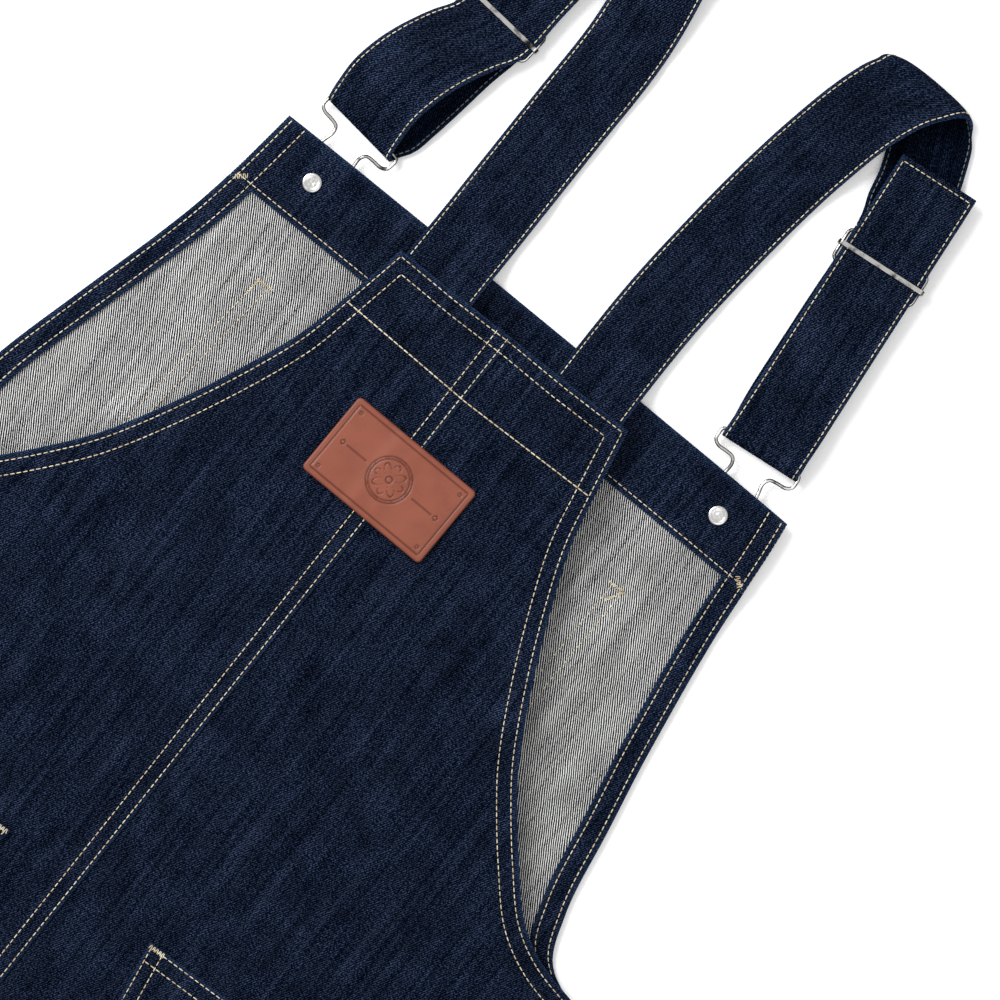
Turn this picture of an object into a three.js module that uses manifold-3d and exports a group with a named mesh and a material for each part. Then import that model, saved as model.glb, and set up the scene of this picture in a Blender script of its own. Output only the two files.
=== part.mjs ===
// A denim smock apron with a bib, a full back, two back pockets and button-on shoulder straps,
// lying face down on a table with its straps folded back to the bib.
// Millimetres. +Z is up from the table, +Y runs from the hem to the straps and +X points to the
// wearer's right. y = 0 is the underarm line and x = 0 the middle of the garment.
import * as THREE from "three";
import { mergeVertices } from "three/addons/utils/BufferGeometryUtils.js";
import Module from "manifold-3d";

const wasm = await Module();
wasm.setup();

const { smoothstep, lerp } = THREE.MathUtils;

// ---- cloth ----
const cloth = 1.2; // one layer of denim
const gap = 0.3; // between pieces that lie on each other
const layer = cloth + gap;
const leather = 1.6;

// ---- front and back panels ----
const waistHalf = 250; // half the width at the underarm line
const hemHalf = 322;
const skirtLength = 620; // underarm line to hem
const bibHalf = 158;
const bibTop = 255.5; // underarm line to the bib's top edge
const yokeHalf = 71;
const yokeTop = 240; // underarm line to the top of the back
const yokeDepth = 40;
const facingDepth = 40.5; // the band inside the bib's top edge
const bindingWidth = 14; // strips along the bib's sides
const armholeBinding = 13; // strips along the back's armholes
const hemDepth = 25;
const seamWidth = 10; // side seam allowance
const lapEdge = -1.3; // centre back seam: the left panel laps over the right as far as here
const lapWidth = 9.5;
const lapSlope = 3.5;

// ---- the room between front and back as the garment lies ----
const ceiling = 10.5; // underside of the back above the table
const sideRoom = 70; // width over which the back comes down to the side seam

// ---- pockets and patch ----
const chestTopHalf = 112;
const chestBottomHalf = 119;
const chestTop = 178;
const chestBottom = 40;
const pocketTop = -101; // top inner corner of a back pocket
const pocketInner = 43.5;
const pocketWidth = 150;
const pocketDrop = 150; // length of a pocket's sides
const pocketPoint = 15;
const pocketLean = 0.165; // how much its sides close in for each mm down
const pocketTilt = 0.035; // rise of its mouth for each mm outwards
const patchSize = [74.5, 45];
const patchPlace = [-5.5, 148.5];

// ---- buttons ----
const buttonX = 128.5;
const buttonBelowTop = 18.5;
const capRadius = 8.5;
const capHeight = 3; // a cap's rim above the table
const neckRadius = 3;
const postRadius = 1.1;
const boreRadius = 1.5;
const tackRadius = 4.75;
const tackHeight = 1;

// ---- wire hooks ----
const wireRadius = 1;
const hookReach = 38; // button to the bar in the strap's loop
const shoulderDrop = 9;
const eyeRadius = neckRadius + wireRadius + 0.4;
const wireZ = capHeight + gap + wireRadius;

// ---- straps ----
const strapWidth = 41;
const strapThick = 2.2;
const strapInset = 3; // yoke's corner to the strap's outer edge
const strapBase = yokeHalf - strapInset - strapWidth / 2; // strap's middle where it leaves the yoke
const strapTuck = 14; // length of strap inside the yoke
const loopShare = 0.9; // the loop is drawn in a little between the wire's bends
const hookHalf = strapWidth / 2 + 1.7; // middle of the hook's bar to the outer bend of its wire
const topFold = 6.5; // radius of the soft fold at the top of a strap
const barFold = wireRadius + 0.5 + strapThick / 2;
const tableStrap = strapThick / 2 + 0.4; // middle of a strap that lies on the table
const yokeZ = ceiling + 2.4; // underside of the back over the tucked straps

// ---- sliders ----
const railRadius = 0.9;
const barStock = 0.8;
const barWidth = 4;
const railZ = railRadius + gap + barStock + 0.1;
const railRoom = 1.3; // strap's edge to the inside of a rail
const railHalf = strapWidth / 2 + railRoom + railRadius;
const railLength = 17.4; // along the strap, wire middle to wire middle
const underZ = railZ + railRadius + gap + strapThick / 2; // lower strap layer in the slider
const overZ = underZ + strapThick + gap; // upper strap layer

// Each strap as it lies. Heights are above the hook's bar. A pair is a height and how far the
// strap's middle has gone from the yoke towards the hook, from 0 to 1.
const laidStraps = {
  right: {
    sign: 1,
    crease: 194,
    run: [[-40, 0], [25, 0], [65, 0.04], [105, 0.107], [145, 0.202], [165, 0.268], [180, 0.33], [194, 0.39]],
    under: [[194, 0.51], [180, 0.59], [165, 0.665], [150, 0.725], [135, 0.785]],
    lowerCurve: [],
    upperCurve: [],
    shift: 0, // where the strap end is straight, its line starts this far from the hook
    lean: -0.1044, // and goes sideways this much for each mm up
    straight: [22, 122],
    slider: 107,
    tail: 159.5,
  },
  left: {
    sign: -1,
    crease: 201,
    run: [[-44, 0], [60, 0], [111, 0], [141, 0.045], [166, 0.12], [189, 0.226], [201, 0.284]],
    under: [[201, 0.374], [185, 0.484], [166, 0.587], [150, 0.64]],
    lowerCurve: [[58, -0.775], [40, -0.83], [20, -0.91]],
    upperCurve: [[20, -1.0], [34, -0.965], [48, -0.915], [62, -0.83]],
    shift: 14,
    lean: 0.09,
    straight: [74, 134],
    slider: 83,
    tail: 136,
  },
};

const colours = { denim: 0x1d2a47, reverse: 0x8d93a3, leather: 0xa5523a, nickel: 0xc9c9cc };
const finishes = {
  denim: () => new THREE.MeshStandardMaterial({ color: colours.denim, roughness: 0.92, metalness: 0 }),
  reverse: () => new THREE.MeshStandardMaterial({ color: colours.reverse, roughness: 0.95, metalness: 0 }),
  leather: () => new THREE.MeshStandardMaterial({ color: colours.leather, roughness: 0.6, metalness: 0 }),
  nickel: () => new THREE.MeshStandardMaterial({ color: colours.nickel, roughness: 0.25, metalness: 1 }),
};

const garment = new THREE.Group();
function add(name, geometry, finish) {
  const mesh = new THREE.Mesh(geometry, finishes[finish]());
  mesh.name = name;
  garment.add(mesh);
  return mesh;
}

// ---- making solids ----

// A closed sheet over the grid of points surface(u, v), from below under it to above over it.
function shell(surface, us, vs, below, above) {
  const grid = vs.map((v) => us.map((u) => surface(u, v)));
  const rows = vs.length;
  const columns = us.length;
  const at = (i, j) => grid[Math.min(Math.max(j, 0), rows - 1)][Math.min(Math.max(i, 0), columns - 1)];
  const low = [];
  const high = [];
  for (let j = 0; j < rows; j++) {
    for (let i = 0; i < columns; i++) {
      const across = at(i + 1, j).clone().sub(at(i - 1, j));
      const along = at(i, j + 1).clone().sub(at(i, j - 1));
      const normal = across.cross(along).normalize();
      low.push(at(i, j).clone().addScaledVector(normal, -below));
      high.push(at(i, j).clone().addScaledVector(normal, above));
    }
  }
  const upper = rows * columns;
  const index = (i, j) => j * columns + i;
  const faces = [];
  const quad = (a, b, c, d) => faces.push(a, b, c, a, c, d);
  for (let j = 0; j + 1 < rows; j++) {
    for (let i = 0; i + 1 < columns; i++) {
      const [a, b, c, d] = [index(i, j), index(i + 1, j), index(i + 1, j + 1), index(i, j + 1)];
      quad(a + upper, b + upper, c + upper, d + upper);
      quad(a, d, c, b);
    }
  }
  const rim = [];
  for (let i = 0; i + 1 < columns; i++) rim.push(index(i, 0));
  for (let j = 0; j + 1 < rows; j++) rim.push(index(columns - 1, j));
  for (let i = columns - 1; i > 0; i--) rim.push(index(i, rows - 1));
  for (let j = rows - 1; j > 0; j--) rim.push(index(0, j));
  rim.forEach((a, k) => {
    const b = rim[(k + 1) % rim.length];
    quad(a, b, b + upper, a + upper);
  });
  const positions = [...low, ...high].flatMap((p) => p.toArray());
  return new THREE.BufferGeometry()
    .setAttribute("position", new THREE.Float32BufferAttribute(positions, 3))
    .setIndex(faces);
}

function solidOf(geometry) {
  const bare = geometry.clone();
  bare.deleteAttribute("normal");
  bare.deleteAttribute("uv");
  const merged = mergeVertices(bare, 1e-4);
  return new wasm.Manifold(
    new wasm.Mesh({
      numProp: 3,
      vertProperties: merged.attributes.position.array,
      triVerts: new Uint32Array(merged.index.array),
    }),
  );
}

function geometryOf(solid) {
  const mesh = solid.getMesh();
  return new THREE.BufferGeometry()
    .setAttribute("position", new THREE.BufferAttribute(mesh.vertProperties.slice(), 3))
    .setIndex(new THREE.BufferAttribute(mesh.triVerts.slice(), 1));
}

// An upright round bar with its foot at (x, y, z).
function upright(radius, height, x, y, z, sides = 16) {
  return new THREE.CylinderGeometry(radius, radius, height, sides)
    .rotateX(Math.PI / 2)
    .translate(x, y, z + height / 2);
}

const steps = (count, from = 0, to = 1) =>
  Array.from({ length: count + 1 }, (_, i) => from + ((to - from) * i) / count);

// ---- outlines ----

// A smooth curve through points, read as x at a given y. The points run down in y.
function outline(points) {
  const curve = new THREE.CatmullRomCurve3(points.map(([x, y]) => new THREE.Vector3(x, y, 0)), false, "centripetal");
  const fine = curve.getPoints(400);
  const xAt = (y) => {
    const k = fine.findIndex((p) => p.y <= y);
    if (k <= 0) return k ? fine.at(-1).x : fine[0].x;
    const [a, b] = [fine[k - 1], fine[k]];
    return lerp(a.x, b.x, (a.y - y) / Math.max(a.y - b.y, 1e-6));
  };
  return { curve, xAt };
}

// Shares of the way from the panel's top corner to the underarm, across and up.
const armholeShape = [
  [0, 1], [0.045, 0.833], [0.071, 0.75], [0.112, 0.667], [0.21, 0.5], [0.331, 0.333],
  [0.413, 0.25], [0.508, 0.167], [0.617, 0.083], [0.72, 0.042], [0.85, 0.018], [1, 0],
];
const bibShape = [[0, 1], [0.09, 0.75], [0.24, 0.485], [0.35, 0.313], [0.435, 0.141], [0.53, 0.047], [0.74, 0.01], [1, 0]];
const shaped = (shape, half, top) => outline(shape.map(([x, y]) => [lerp(half, waistHalf, x), y * top]));
const backEdge = shaped(armholeShape, yokeHalf, yokeTop);
const bibEdge = shaped(bibShape, bibHalf, bibTop);

const skirtHalf = (y) => waistHalf + (hemHalf - waistHalf) * Math.pow(-y / skirtLength, 0.85);
const frontHalf = (y) => (y > 0 ? bibEdge.xAt(y) : skirtHalf(y));
const backHalf = (y) => (y > 0 ? backEdge.xAt(y) : skirtHalf(y));

// The bib lies a little askew under the back, bowed sideways and turned about half a degree.
const bow = [-33.7, 79.5, -43.16];
const bibTurn = 0.0157;
function laid(x, y) {
  const up = Math.max(y, 0) / bibTop;
  return [x + up * (bow[0] + up * (bow[1] + up * bow[2])), y - bibTurn * x * up];
}

const buttons = { left: laid(-buttonX, bibTop - buttonBelowTop), right: laid(buttonX, bibTop - buttonBelowTop) };

// ---- heights of the cloth above the table ----

const buttonStack = wireZ + wireRadius + gap; // the bib's outer face over a button and its hook
function frontLow(x, y) {
  const outside = Math.hypot(
    Math.max(Math.abs(x) - chestBottomHalf, 0),
    Math.max(chestBottom - y, y - chestTop, 0),
  );
  const overPocket = layer * (1 - smoothstep(outside, 8, 22));
  const away = Math.min(...Object.values(buttons).map(([bx, by]) => Math.hypot(x - bx, y - by)));
  return Math.max(overPocket, buttonStack * (1 - smoothstep(away, 24, 70)));
}

const seamHeight = 2 * layer - gap; // two folded layers of side seam allowance
const sideLow = cloth + gap + seamHeight + gap;
const roomHalf = (y) => (y > 0 ? lerp(waistHalf, bibHalf, smoothstep(y, 0, 190)) : skirtHalf(y));
function backLow(x, y) {
  const inward = roomHalf(y) - Math.abs(x);
  const raised = lerp(ceiling, yokeZ, smoothstep(y, patchPlace[1] + patchSize[1] / 2 + 1, yokeTop - yokeDepth - 2));
  return lerp(sideLow, raised, smoothstep(inward, 0, sideRoom));
}

// ---- front ----

const hemRows = [-skirtLength, -skirtLength + hemDepth];
const skirtRows = [...hemRows, -480, -360, -240, -120, -40].filter((y, i) => i < 2 || y > hemRows[1] + 10);
const facingLow = bibTop - facingDepth;
const bandRows = steps(6, facingLow, bibTop);
const bibRows = [0, 2, 5, 11, 22, 36, 54, 75, 96, 120, 144, 163, 178, 190, 200, 209].filter((y) => y < facingLow - 4);

const innerShare = 0.9; // the outermost column on each side is the binding's width
function frontPoint(u, y, rise) {
  const half = frontHalf(y);
  const inner = half - bindingWidth;
  const far = Math.abs(u) > innerShare ? inner + ((Math.abs(u) - innerShare) / (1 - innerShare)) * bindingWidth : (Math.abs(u) / innerShare) * inner;
  const [x, ly] = laid(Math.sign(u) * far, y);
  return new THREE.Vector3(x, ly, frontLow(x, ly) + rise);
}
const frontShares = [0.3, 0.42, 0.5, 0.58, 0.66, 0.74, 0.82, innerShare, 1];
const mirrored = (shares) => [...shares.map((s) => -s).reverse(), 0, ...shares];
const frontColumns = mirrored(frontShares);

function pierced(geometry) {
  let solid = solidOf(geometry);
  for (const [x, y] of Object.values(buttons)) {
    solid = solid.subtract(solidOf(upright(boreRadius, 30, x, y, -5, 12)));
  }
  return geometryOf(solid);
}

add(
  "front_panel",
  pierced(shell((u, y) => frontPoint(u, y, 0), frontColumns, [...skirtRows, ...bibRows, ...bandRows], 0, cloth)),
  "reverse",
);
add("bib_facing", pierced(shell((u, y) => frontPoint(u, y, layer), frontColumns, bandRows, 0, cloth)), "denim");

const bindingRows = [11, ...bibRows.filter((y) => y > 11), facingLow - gap];
for (const [name, sign] of [["left", -1], ["right", 1]]) {
  const us = sign > 0 ? [innerShare, 1] : [-1, -innerShare];
  add(`bib_binding_${name}`, shell((u, y) => frontPoint(u, y, layer), us, bindingRows, 0, cloth), "denim");
}

add(
  "front_hem_facing",
  shell((u, y) => frontPoint(u, y, layer), frontColumns, hemRows, 0, cloth),
  "denim",
);

add(
  "chest_pocket",
  shell(
    (u, v) => {
      const [x, y] = laid(u * lerp(chestBottomHalf, chestTopHalf, v), lerp(chestBottom, chestTop, v));
      return new THREE.Vector3(x, y, frontLow(x, y) - layer);
    },
    steps(8, -1, 1),
    steps(6),
    0,
    cloth,
  ),
  "denim",
);

// ---- back ----

const lapStart = lapEdge - lapWidth - lapSlope;
const backShares = [0, 0.4, 0.7, 0.75, 0.8, 0.85, 0.9, 0.95, 1];
const outward = (share, y) => lerp(-lapStart, backHalf(y), share);
const backRows = [...skirtRows, 0, 2, 5, 11, 20, 32, 46, 60, 78, 98, 120, 144, 166, 180, 192, 203, 215, 228, yokeTop];

// Columns of the left panel run from its side to the lap; negative numbers are places on the lap.
function backLeftPoint(u, y) {
  const x = u < 0 ? lapEdge + (u + 1) * lapWidth : -outward(u, y);
  const onLap = u < 0 ? layer : 0;
  return new THREE.Vector3(x, y, backLow(x, y) + onLap);
}
add(
  "back_panel_left",
  shell(backLeftPoint, [...[...backShares].reverse(), -2, -1], backRows, 0, cloth),
  "denim",
);
const lapUnder = lapEdge - lapWidth + gap;
add(
  "back_panel_right",
  shell(
    (u, y) => {
      const x = u < 0 ? lapUnder : outward(u, y);
      return new THREE.Vector3(x, y, backLow(x, y));
    },
    [-1, ...backShares],
    backRows,
    0,
    cloth,
  ),
  "denim",
);

add(
  "back_hem_facing",
  shell(
    (u, y) => {
      const x = Math.sign(u) * (Math.abs(u) < 0.01 ? 0 : outward(Math.abs(u), y));
      return new THREE.Vector3(x, y, backLow(x, y) - layer);
    },
    mirrored(backShares.slice(1)),
    hemRows,
    0,
    cloth,
  ),
  "denim",
);

const facingDrop = 2 * gap + strapThick + cloth; // yoke facing under the tucked straps
add(
  "yoke_facing",
  shell(
    (u, y) => new THREE.Vector3(u * (backHalf(y) - 1), y, yokeZ - facingDrop),
    steps(6, -1, 1),
    steps(4, yokeTop - yokeDepth + 1, yokeTop),
    0,
    cloth,
  ),
  "denim",
);

for (const [name, sign] of [["left", -1], ["right", 1]]) {
  const start = yokeTop - yokeDepth - 3;
  const edge = backEdge.curve.getSpacedPoints(120).filter((p) => p.y < start && p.x < waistHalf - 32);
  const along = steps(14).map((t) => Math.round(t * (edge.length - 1)));
  add(
    `armhole_binding_${name}`,
    shell(
      (u, k) => {
        const before = edge[Math.max(k - 1, 0)];
        const after = edge[Math.min(k + 1, edge.length - 1)];
        const run = after.clone().sub(before).normalize();
        const inside = 1 + (sign > 0 ? 1 - u : u) * armholeBinding;
        const x = edge[k].x + run.y * inside;
        const y = edge[k].y - run.x * inside;
        return new THREE.Vector3(sign * x, y, backLow(x, y) - layer - gap);
      },
      [0, 0.5, 1],
      along.reverse(),
      0,
      cloth,
    ),
    "denim",
  );
}

for (const [name, sign] of [["left", -1], ["right", 1]]) {
  const rows = [hemRows[1] + 2, -480, -360, -240, -120, -40, -9];
  add(
    `side_seam_${name}`,
    shell(
      (u, y) => new THREE.Vector3(sign * (skirtHalf(y) - 1) - (sign > 0 ? 1 - u : -u) * seamWidth, y, cloth + gap),
      [0, 1],
      rows,
      0,
      seamHeight,
    ),
    "denim",
  );
}

for (const [name, sign] of [["left", -1], ["right", 1]]) {
  add(
    `back_pocket_${name}`,
    shell(
      (u, v) => {
        const out = sign > 0 ? u : 1 - u;
        const down = (1 - v) * (pocketDrop + pocketPoint * (1 - Math.abs(2 * out - 1)));
        const x = pocketInner + lerp(pocketLean * down, pocketWidth - pocketLean * down, out);
        const y = pocketTop + pocketTilt * pocketWidth * out - down;
        return new THREE.Vector3(sign * x, y, backLow(x, y) + layer);
      },
      steps(6),
      steps(6),
      0,
      cloth,
    ),
    "denim",
  );
}

add(
  "leather_patch",
  new THREE.BoxGeometry(...patchSize, leather).translate(
    ...patchPlace,
    backLow(0, patchPlace[1]) + layer + cloth + gap + leather / 2,
  ),
  "leather",
);

// ---- buttons ----

for (const [name, [x, y]] of Object.entries(buttons)) {
  const neckTop = buttonStack - gap;
  const cap = new THREE.LatheGeometry(
    [[0, 0], [5.5, 0], [7.6, 0.7], [capRadius, 1.8], [capRadius, 2.5], [7.8, capHeight], [neckRadius, capHeight],
      [neckRadius, neckTop], [boreRadius, neckTop], [boreRadius, 1.6], [0, 1.6]].map(([r, z]) => new THREE.Vector2(r, z)),
    24,
  ).rotateX(Math.PI / 2);
  add(`button_cap_${name}`, cap.translate(x, y, 0), "nickel");

  const head = buttonStack + 2 * layer;
  const tack = new THREE.LatheGeometry(
    [[0, 2.2], [postRadius, 2.2], [postRadius, head], [tackRadius, head], [tackRadius, head + tackHeight * 0.6],
      [tackRadius - 0.6, head + tackHeight], [1.6, head + tackHeight], [0, head + tackHeight * 0.7]]
      .map(([r, z]) => new THREE.Vector2(r, z)),
    20,
  ).rotateX(Math.PI / 2);
  add(`button_tack_${name}`, tack.translate(x, y, 0), "nickel");
}

// ---- hooks ----

// Half of the wire's middle line, from the eye's foot to the middle of the bar.
const bendIn = eyeRadius + 0.1;
const hookLine = [
  [0, -eyeRadius], [eyeRadius * 0.82, -eyeRadius * 0.6], [bendIn, 1], [bendIn + 0.8, 5], [8.6, 10], [10.2, 14.5], [9.7, 20],
  [9.1, hookReach - shoulderDrop - 4], [10.7, hookReach - shoulderDrop - 0.8], [14.5, hookReach - shoulderDrop],
  [hookHalf - 3, hookReach - shoulderDrop + 0.3], [hookHalf - 0.3, hookReach - shoulderDrop + 2.3],
  [hookHalf, hookReach - 3.8], [hookHalf - 0.3, hookReach - 1.9], [hookHalf - 1.6, hookReach - 0.5],
  [hookHalf - 3.6, hookReach], [0, hookReach],
];
const mirroredLine = hookLine.slice(1, -1).reverse().map(([x, y]) => [-x, y]);
for (const [name, [x, y]] of Object.entries(buttons)) {
  const line = [...hookLine, ...mirroredLine].map(([px, py]) => new THREE.Vector3(px, py, wireZ));
  const wire = new THREE.CatmullRomCurve3(line, true, "centripetal");
  add(`hook_${name}`, new THREE.TubeGeometry(wire, 72, wireRadius, 8, true).translate(x, y, 0), "nickel");
}

// ---- straps ----

const firstTurn = Math.PI * topFold;
const secondTurn = Math.PI * barFold;

// The strap unrolled: how far along it each stretch starts, and its middle's x there.
function strapOf(side) {
  const s = laidStraps[side];
  const [hookX, buttonY] = buttons[side];
  const barY = buttonY + hookReach;
  const base = s.sign * strapBase;
  const across = (share) => lerp(base, hookX, share);
  const onLine = (h) => hookX + s.shift + s.lean * h;
  const underAt = (h) => s.crease + firstTurn + (s.crease - h);
  const overAt = (h) => s.crease + firstTurn + s.crease + secondTurn + h;
  const splay = 0.5; // the two layers in the slider lie this far to each side of its middle
  const points = [
    ...s.run.map(([h, share]) => [h, across(share)]),
    ...s.under.map(([h, share]) => [underAt(h), across(share)]),
    ...[1, 0.5, 0].map((t) => lerp(...s.straight, t)).map((h) => [underAt(h), onLine(h) - splay]),
    ...s.lowerCurve.map(([h, share]) => [underAt(h), across(-share)]),
    [underAt(0), hookX - 0.4],
    [overAt(0), hookX + 0.4],
    ...s.upperCurve.map(([h, share]) => [overAt(h), across(-share)]),
    ...[0, 0.5, 1].map((t) => lerp(...s.straight, t)).map((h) => [overAt(h), onLine(h) + splay]),
    [overAt(s.tail), onLine(s.tail) + splay],
  ];
  const middle = outline(points.map(([along, x]) => [x, -along]));
  const xAt = (along) => middle.xAt(-along);

  // Height above the bar's line and above the table, for a distance along the unrolled strap.
  const fold = (along) => {
    if (along <= s.crease) return [along, runHeight(along)];
    if (along <= s.crease + firstTurn) {
      const turn = (along - s.crease) / topFold;
      return [s.crease + topFold * Math.sin(turn), tableStrap + topFold * (1 + Math.cos(turn))];
    }
    const down = 2 * s.crease + firstTurn - along;
    if (down >= 0) return [down, underHeight(down)];
    if (-down <= secondTurn) {
      const turn = -down / barFold;
      return [-barFold * Math.sin(turn), wireZ - barFold * Math.cos(turn)];
    }
    return [-down - secondTurn, wireZ + barFold];
  };
  const hingeTop = wireZ - strapThick / 2 - 0.15; // the strap's upper face passes under the bar's line
  const runHeight = (h) => {
    if (h < 0) return lerp(hingeTop, yokeZ - gap - strapThick / 2, smoothstep(-h, 2, barY - yokeTop - 3));
    if (h < 60) return lerp(hingeTop, tableStrap, smoothstep(h, 0, 60));
    return lerp(tableStrap, tableStrap + 2 * topFold, smoothstep(h, 105, s.crease));
  };
  const underHeight = (h) => {
    const nearBar = lerp(wireZ - barFold, underZ, smoothstep(h, 2, s.straight[0]));
    return lerp(nearBar, tableStrap, smoothstep(h, s.straight[1] + 1, s.straight[1] + 34));
  };
  // Cut straight across the garment, except towards the tail, where the strap is cut square.
  const point = (u, along) => {
    const slope = (xAt(along + 1) - xAt(along - 1)) / 2;
    const loop = 1 - (1 - loopShare) * (1 - smoothstep(Math.abs(along - underAt(-secondTurn / 2)), 5, 20));
    const square = smoothstep(along, overAt(10), overAt(s.straight[1]));
    const w = ((u * strapWidth * loop) / 2) * Math.hypot(1, slope) ** (1 - 2 * square);
    const [h, z] = fold(along - square * w * slope);
    return new THREE.Vector3(xAt(along) + w, barY + h, z);
  };
  return { ...s, barY, hookX, point, onLine, underAt, overAt };
}

for (const side of ["left", "right"]) {
  const strap = strapOf(side);
  const half = strapThick / 2;
  const across = [-1, 1];
  const piece = (name, alongs) => add(name, shell(strap.point, across, alongs, half, half), "denim");
  const yokeEnd = yokeTop - strapTuck - strap.barY;
  piece(`strap_base_${side}`, steps(9, yokeEnd, -gap));
  const pastFold = strap.crease + firstTurn;
  piece(`strap_run_${side}`, [...steps(16, gap / 2, strap.crease - 2), ...steps(9, strap.crease, pastFold), pastFold + 4]);
  piece(`strap_end_${side}`, [
    ...steps(14, pastFold + 4 + gap, strap.underAt(8)),
    ...steps(9, strap.underAt(4), strap.overAt(2)),
    ...steps(11, strap.overAt(8), strap.overAt(strap.tail)),
  ]);

  // slider: a wire frame under both strap layers, and a flat bar over them with curled ends
  const tilt = Math.atan(-strap.lean);
  const place = (geometry) => geometry.rotateZ(tilt).translate(strap.onLine(strap.slider), strap.barY + strap.slider, 0);
  const bend = 2.6;
  const corners = [[1, 1], [-1, 1], [-1, -1], [1, -1]];
  const frame = new THREE.CurvePath();
  const cornerPoint = ([sx, sy], dx, dy) =>
    new THREE.Vector3(sx * (railHalf - dx), sy * (railLength / 2 - dy), railZ);
  corners.forEach((corner, k) => {
    const next = corners[(k + 1) % 4];
    const sideways = k % 2 === 0;
    const [a, b] = sideways ? [bend, 0] : [0, bend];
    frame.add(new THREE.LineCurve3(cornerPoint(corner, a, b), cornerPoint(next, a, b)));
    frame.add(new THREE.QuadraticBezierCurve3(cornerPoint(next, a, b), cornerPoint(next, 0, 0), cornerPoint(next, b, a)));
  });
  add(`slider_frame_${side}`, place(new THREE.TubeGeometry(frame, 56, railRadius, 8, true)), "nickel");

  const curl = railRadius + gap + barStock / 2;
  const barZ = overZ + strapThick / 2 + gap + barStock / 2;
  const around = steps(9, -0.1, 1.42).map((t) => [railHalf + curl * Math.cos(Math.PI * t), railZ - curl * Math.sin(Math.PI * t)]);
  const rightHalf = [...around.reverse(), [railHalf + curl, barZ - 1.4], [railHalf + curl - 1.2, barZ]];
  const middleLine = [...rightHalf, ...rightHalf.map(([px, pz]) => [-px, pz]).reverse()];
  add(`slider_bar_${side}`, place(strip(middleLine, barStock, barWidth)), "nickel");
}

// A strip of metal that follows a line of [x, z] points, as wide as width along Y.
function strip(line, thick, width) {
  const sides = line.map((_, k) => {
    const a = new THREE.Vector2(...line[Math.max(k - 1, 0)]);
    const b = new THREE.Vector2(...line[Math.min(k + 1, line.length - 1)]);
    const run = b.sub(a).normalize();
    return [-run.y * (thick / 2), run.x * (thick / 2)];
  });
  const one = line.map(([x, z], k) => new THREE.Vector2(x + sides[k][0], z + sides[k][1]));
  const other = line.map(([x, z], k) => new THREE.Vector2(x - sides[k][0], z - sides[k][1]));
  const shape = new THREE.Shape([...one, ...other.reverse()]);
  return new THREE.ExtrudeGeometry(shape, { depth: width, bevelEnabled: false, steps: 1 })
    .rotateX(Math.PI / 2)
    .translate(0, width / 2, 0);
}

export default garment;
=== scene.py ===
import math

import bpy
import numpy as np
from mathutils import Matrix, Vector
from mathutils.bvhtree import BVHTree


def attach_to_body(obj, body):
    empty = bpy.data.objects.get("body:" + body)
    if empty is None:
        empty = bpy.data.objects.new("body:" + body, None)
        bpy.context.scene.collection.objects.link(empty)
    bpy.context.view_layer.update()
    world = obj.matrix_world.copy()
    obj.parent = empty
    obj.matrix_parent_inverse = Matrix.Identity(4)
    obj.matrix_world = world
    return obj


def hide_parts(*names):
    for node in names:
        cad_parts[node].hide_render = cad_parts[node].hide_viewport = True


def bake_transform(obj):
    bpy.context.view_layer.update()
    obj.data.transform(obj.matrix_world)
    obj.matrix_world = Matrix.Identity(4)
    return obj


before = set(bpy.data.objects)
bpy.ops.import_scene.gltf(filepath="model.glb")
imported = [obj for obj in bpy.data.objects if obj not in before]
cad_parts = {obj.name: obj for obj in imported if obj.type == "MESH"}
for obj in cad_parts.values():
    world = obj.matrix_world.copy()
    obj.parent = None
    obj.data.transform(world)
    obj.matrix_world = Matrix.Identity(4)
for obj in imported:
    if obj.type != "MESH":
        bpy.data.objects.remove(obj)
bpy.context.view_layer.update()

mm = 0.001

# Sizes of the garment, in millimetres: +y towards the straps, +x to the wearer's right.

garment = {
    "cloth": 1.2,
    "layer": 1.5,  # cloth and the small gap under it
    "waistHalf": 250,
    "hemHalf": 322,
    "skirtLength": 620,
    "bibHalf": 158,
    "bibTop": 255.5,
    "yokeHalf": 71,
    "yokeTop": 240,
    "yokeSeam": 203,
    "strapAt": 47.5,  # each strap's middle on the yoke, out from the centre
    "onPanel": 1.35,  # the top of a cloth that lies on the front panel's cloth
    "facingDepth": 40.5,
    "bindingWidth": 14,
    "hemDepth": 25,
    "ceiling": 10.5,  # underside of the back above the table
    "yokeZ": 12.9,
    "sideRoom": 70,
    "sideLow": 4.5,
    "chestTop": 178,
    "chestBottom": 40,
    "chestHalf": (112, 119),
    "armhole": [(71, 240), (79, 200), (83.7, 180), (91, 160), (108.6, 120), (130.2, 80), (145, 60), (162, 40),
                (181.5, 20), (200, 10), (223, 4.5), (250, 0)],
    "bibSide": [(158, 255.5), (166, 192), (180, 124), (190, 80), (198, 36), (207, 12), (226, 2.6), (250, 0)],
    "bow": (-33.7, 79.5, -43.16),
    "bibTurn": 0.0157,
}
lap = {"edge": -1.3, "start": -14.3, "under": 9, "rows": (-3.1, -9.7)}
buttonAt = {"Left": (-125.8, 238.87), "Right": (131.2, 235.13)}
sides = {"Left": -1, "Right": 1}
g = garment


# Plain helpers.

def deselectAll():
    if bpy.context.object and bpy.context.object.mode != "OBJECT":
        bpy.ops.object.mode_set(mode="OBJECT")
    bpy.ops.object.select_all(action="DESELECT")


def makeActive(piece):
    deselectAll()
    bpy.context.view_layer.objects.active = piece
    piece.select_set(True)


def newObject(name, data):
    made = bpy.data.objects.new(name, data)
    bpy.context.scene.collection.objects.link(made)
    return made


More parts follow.
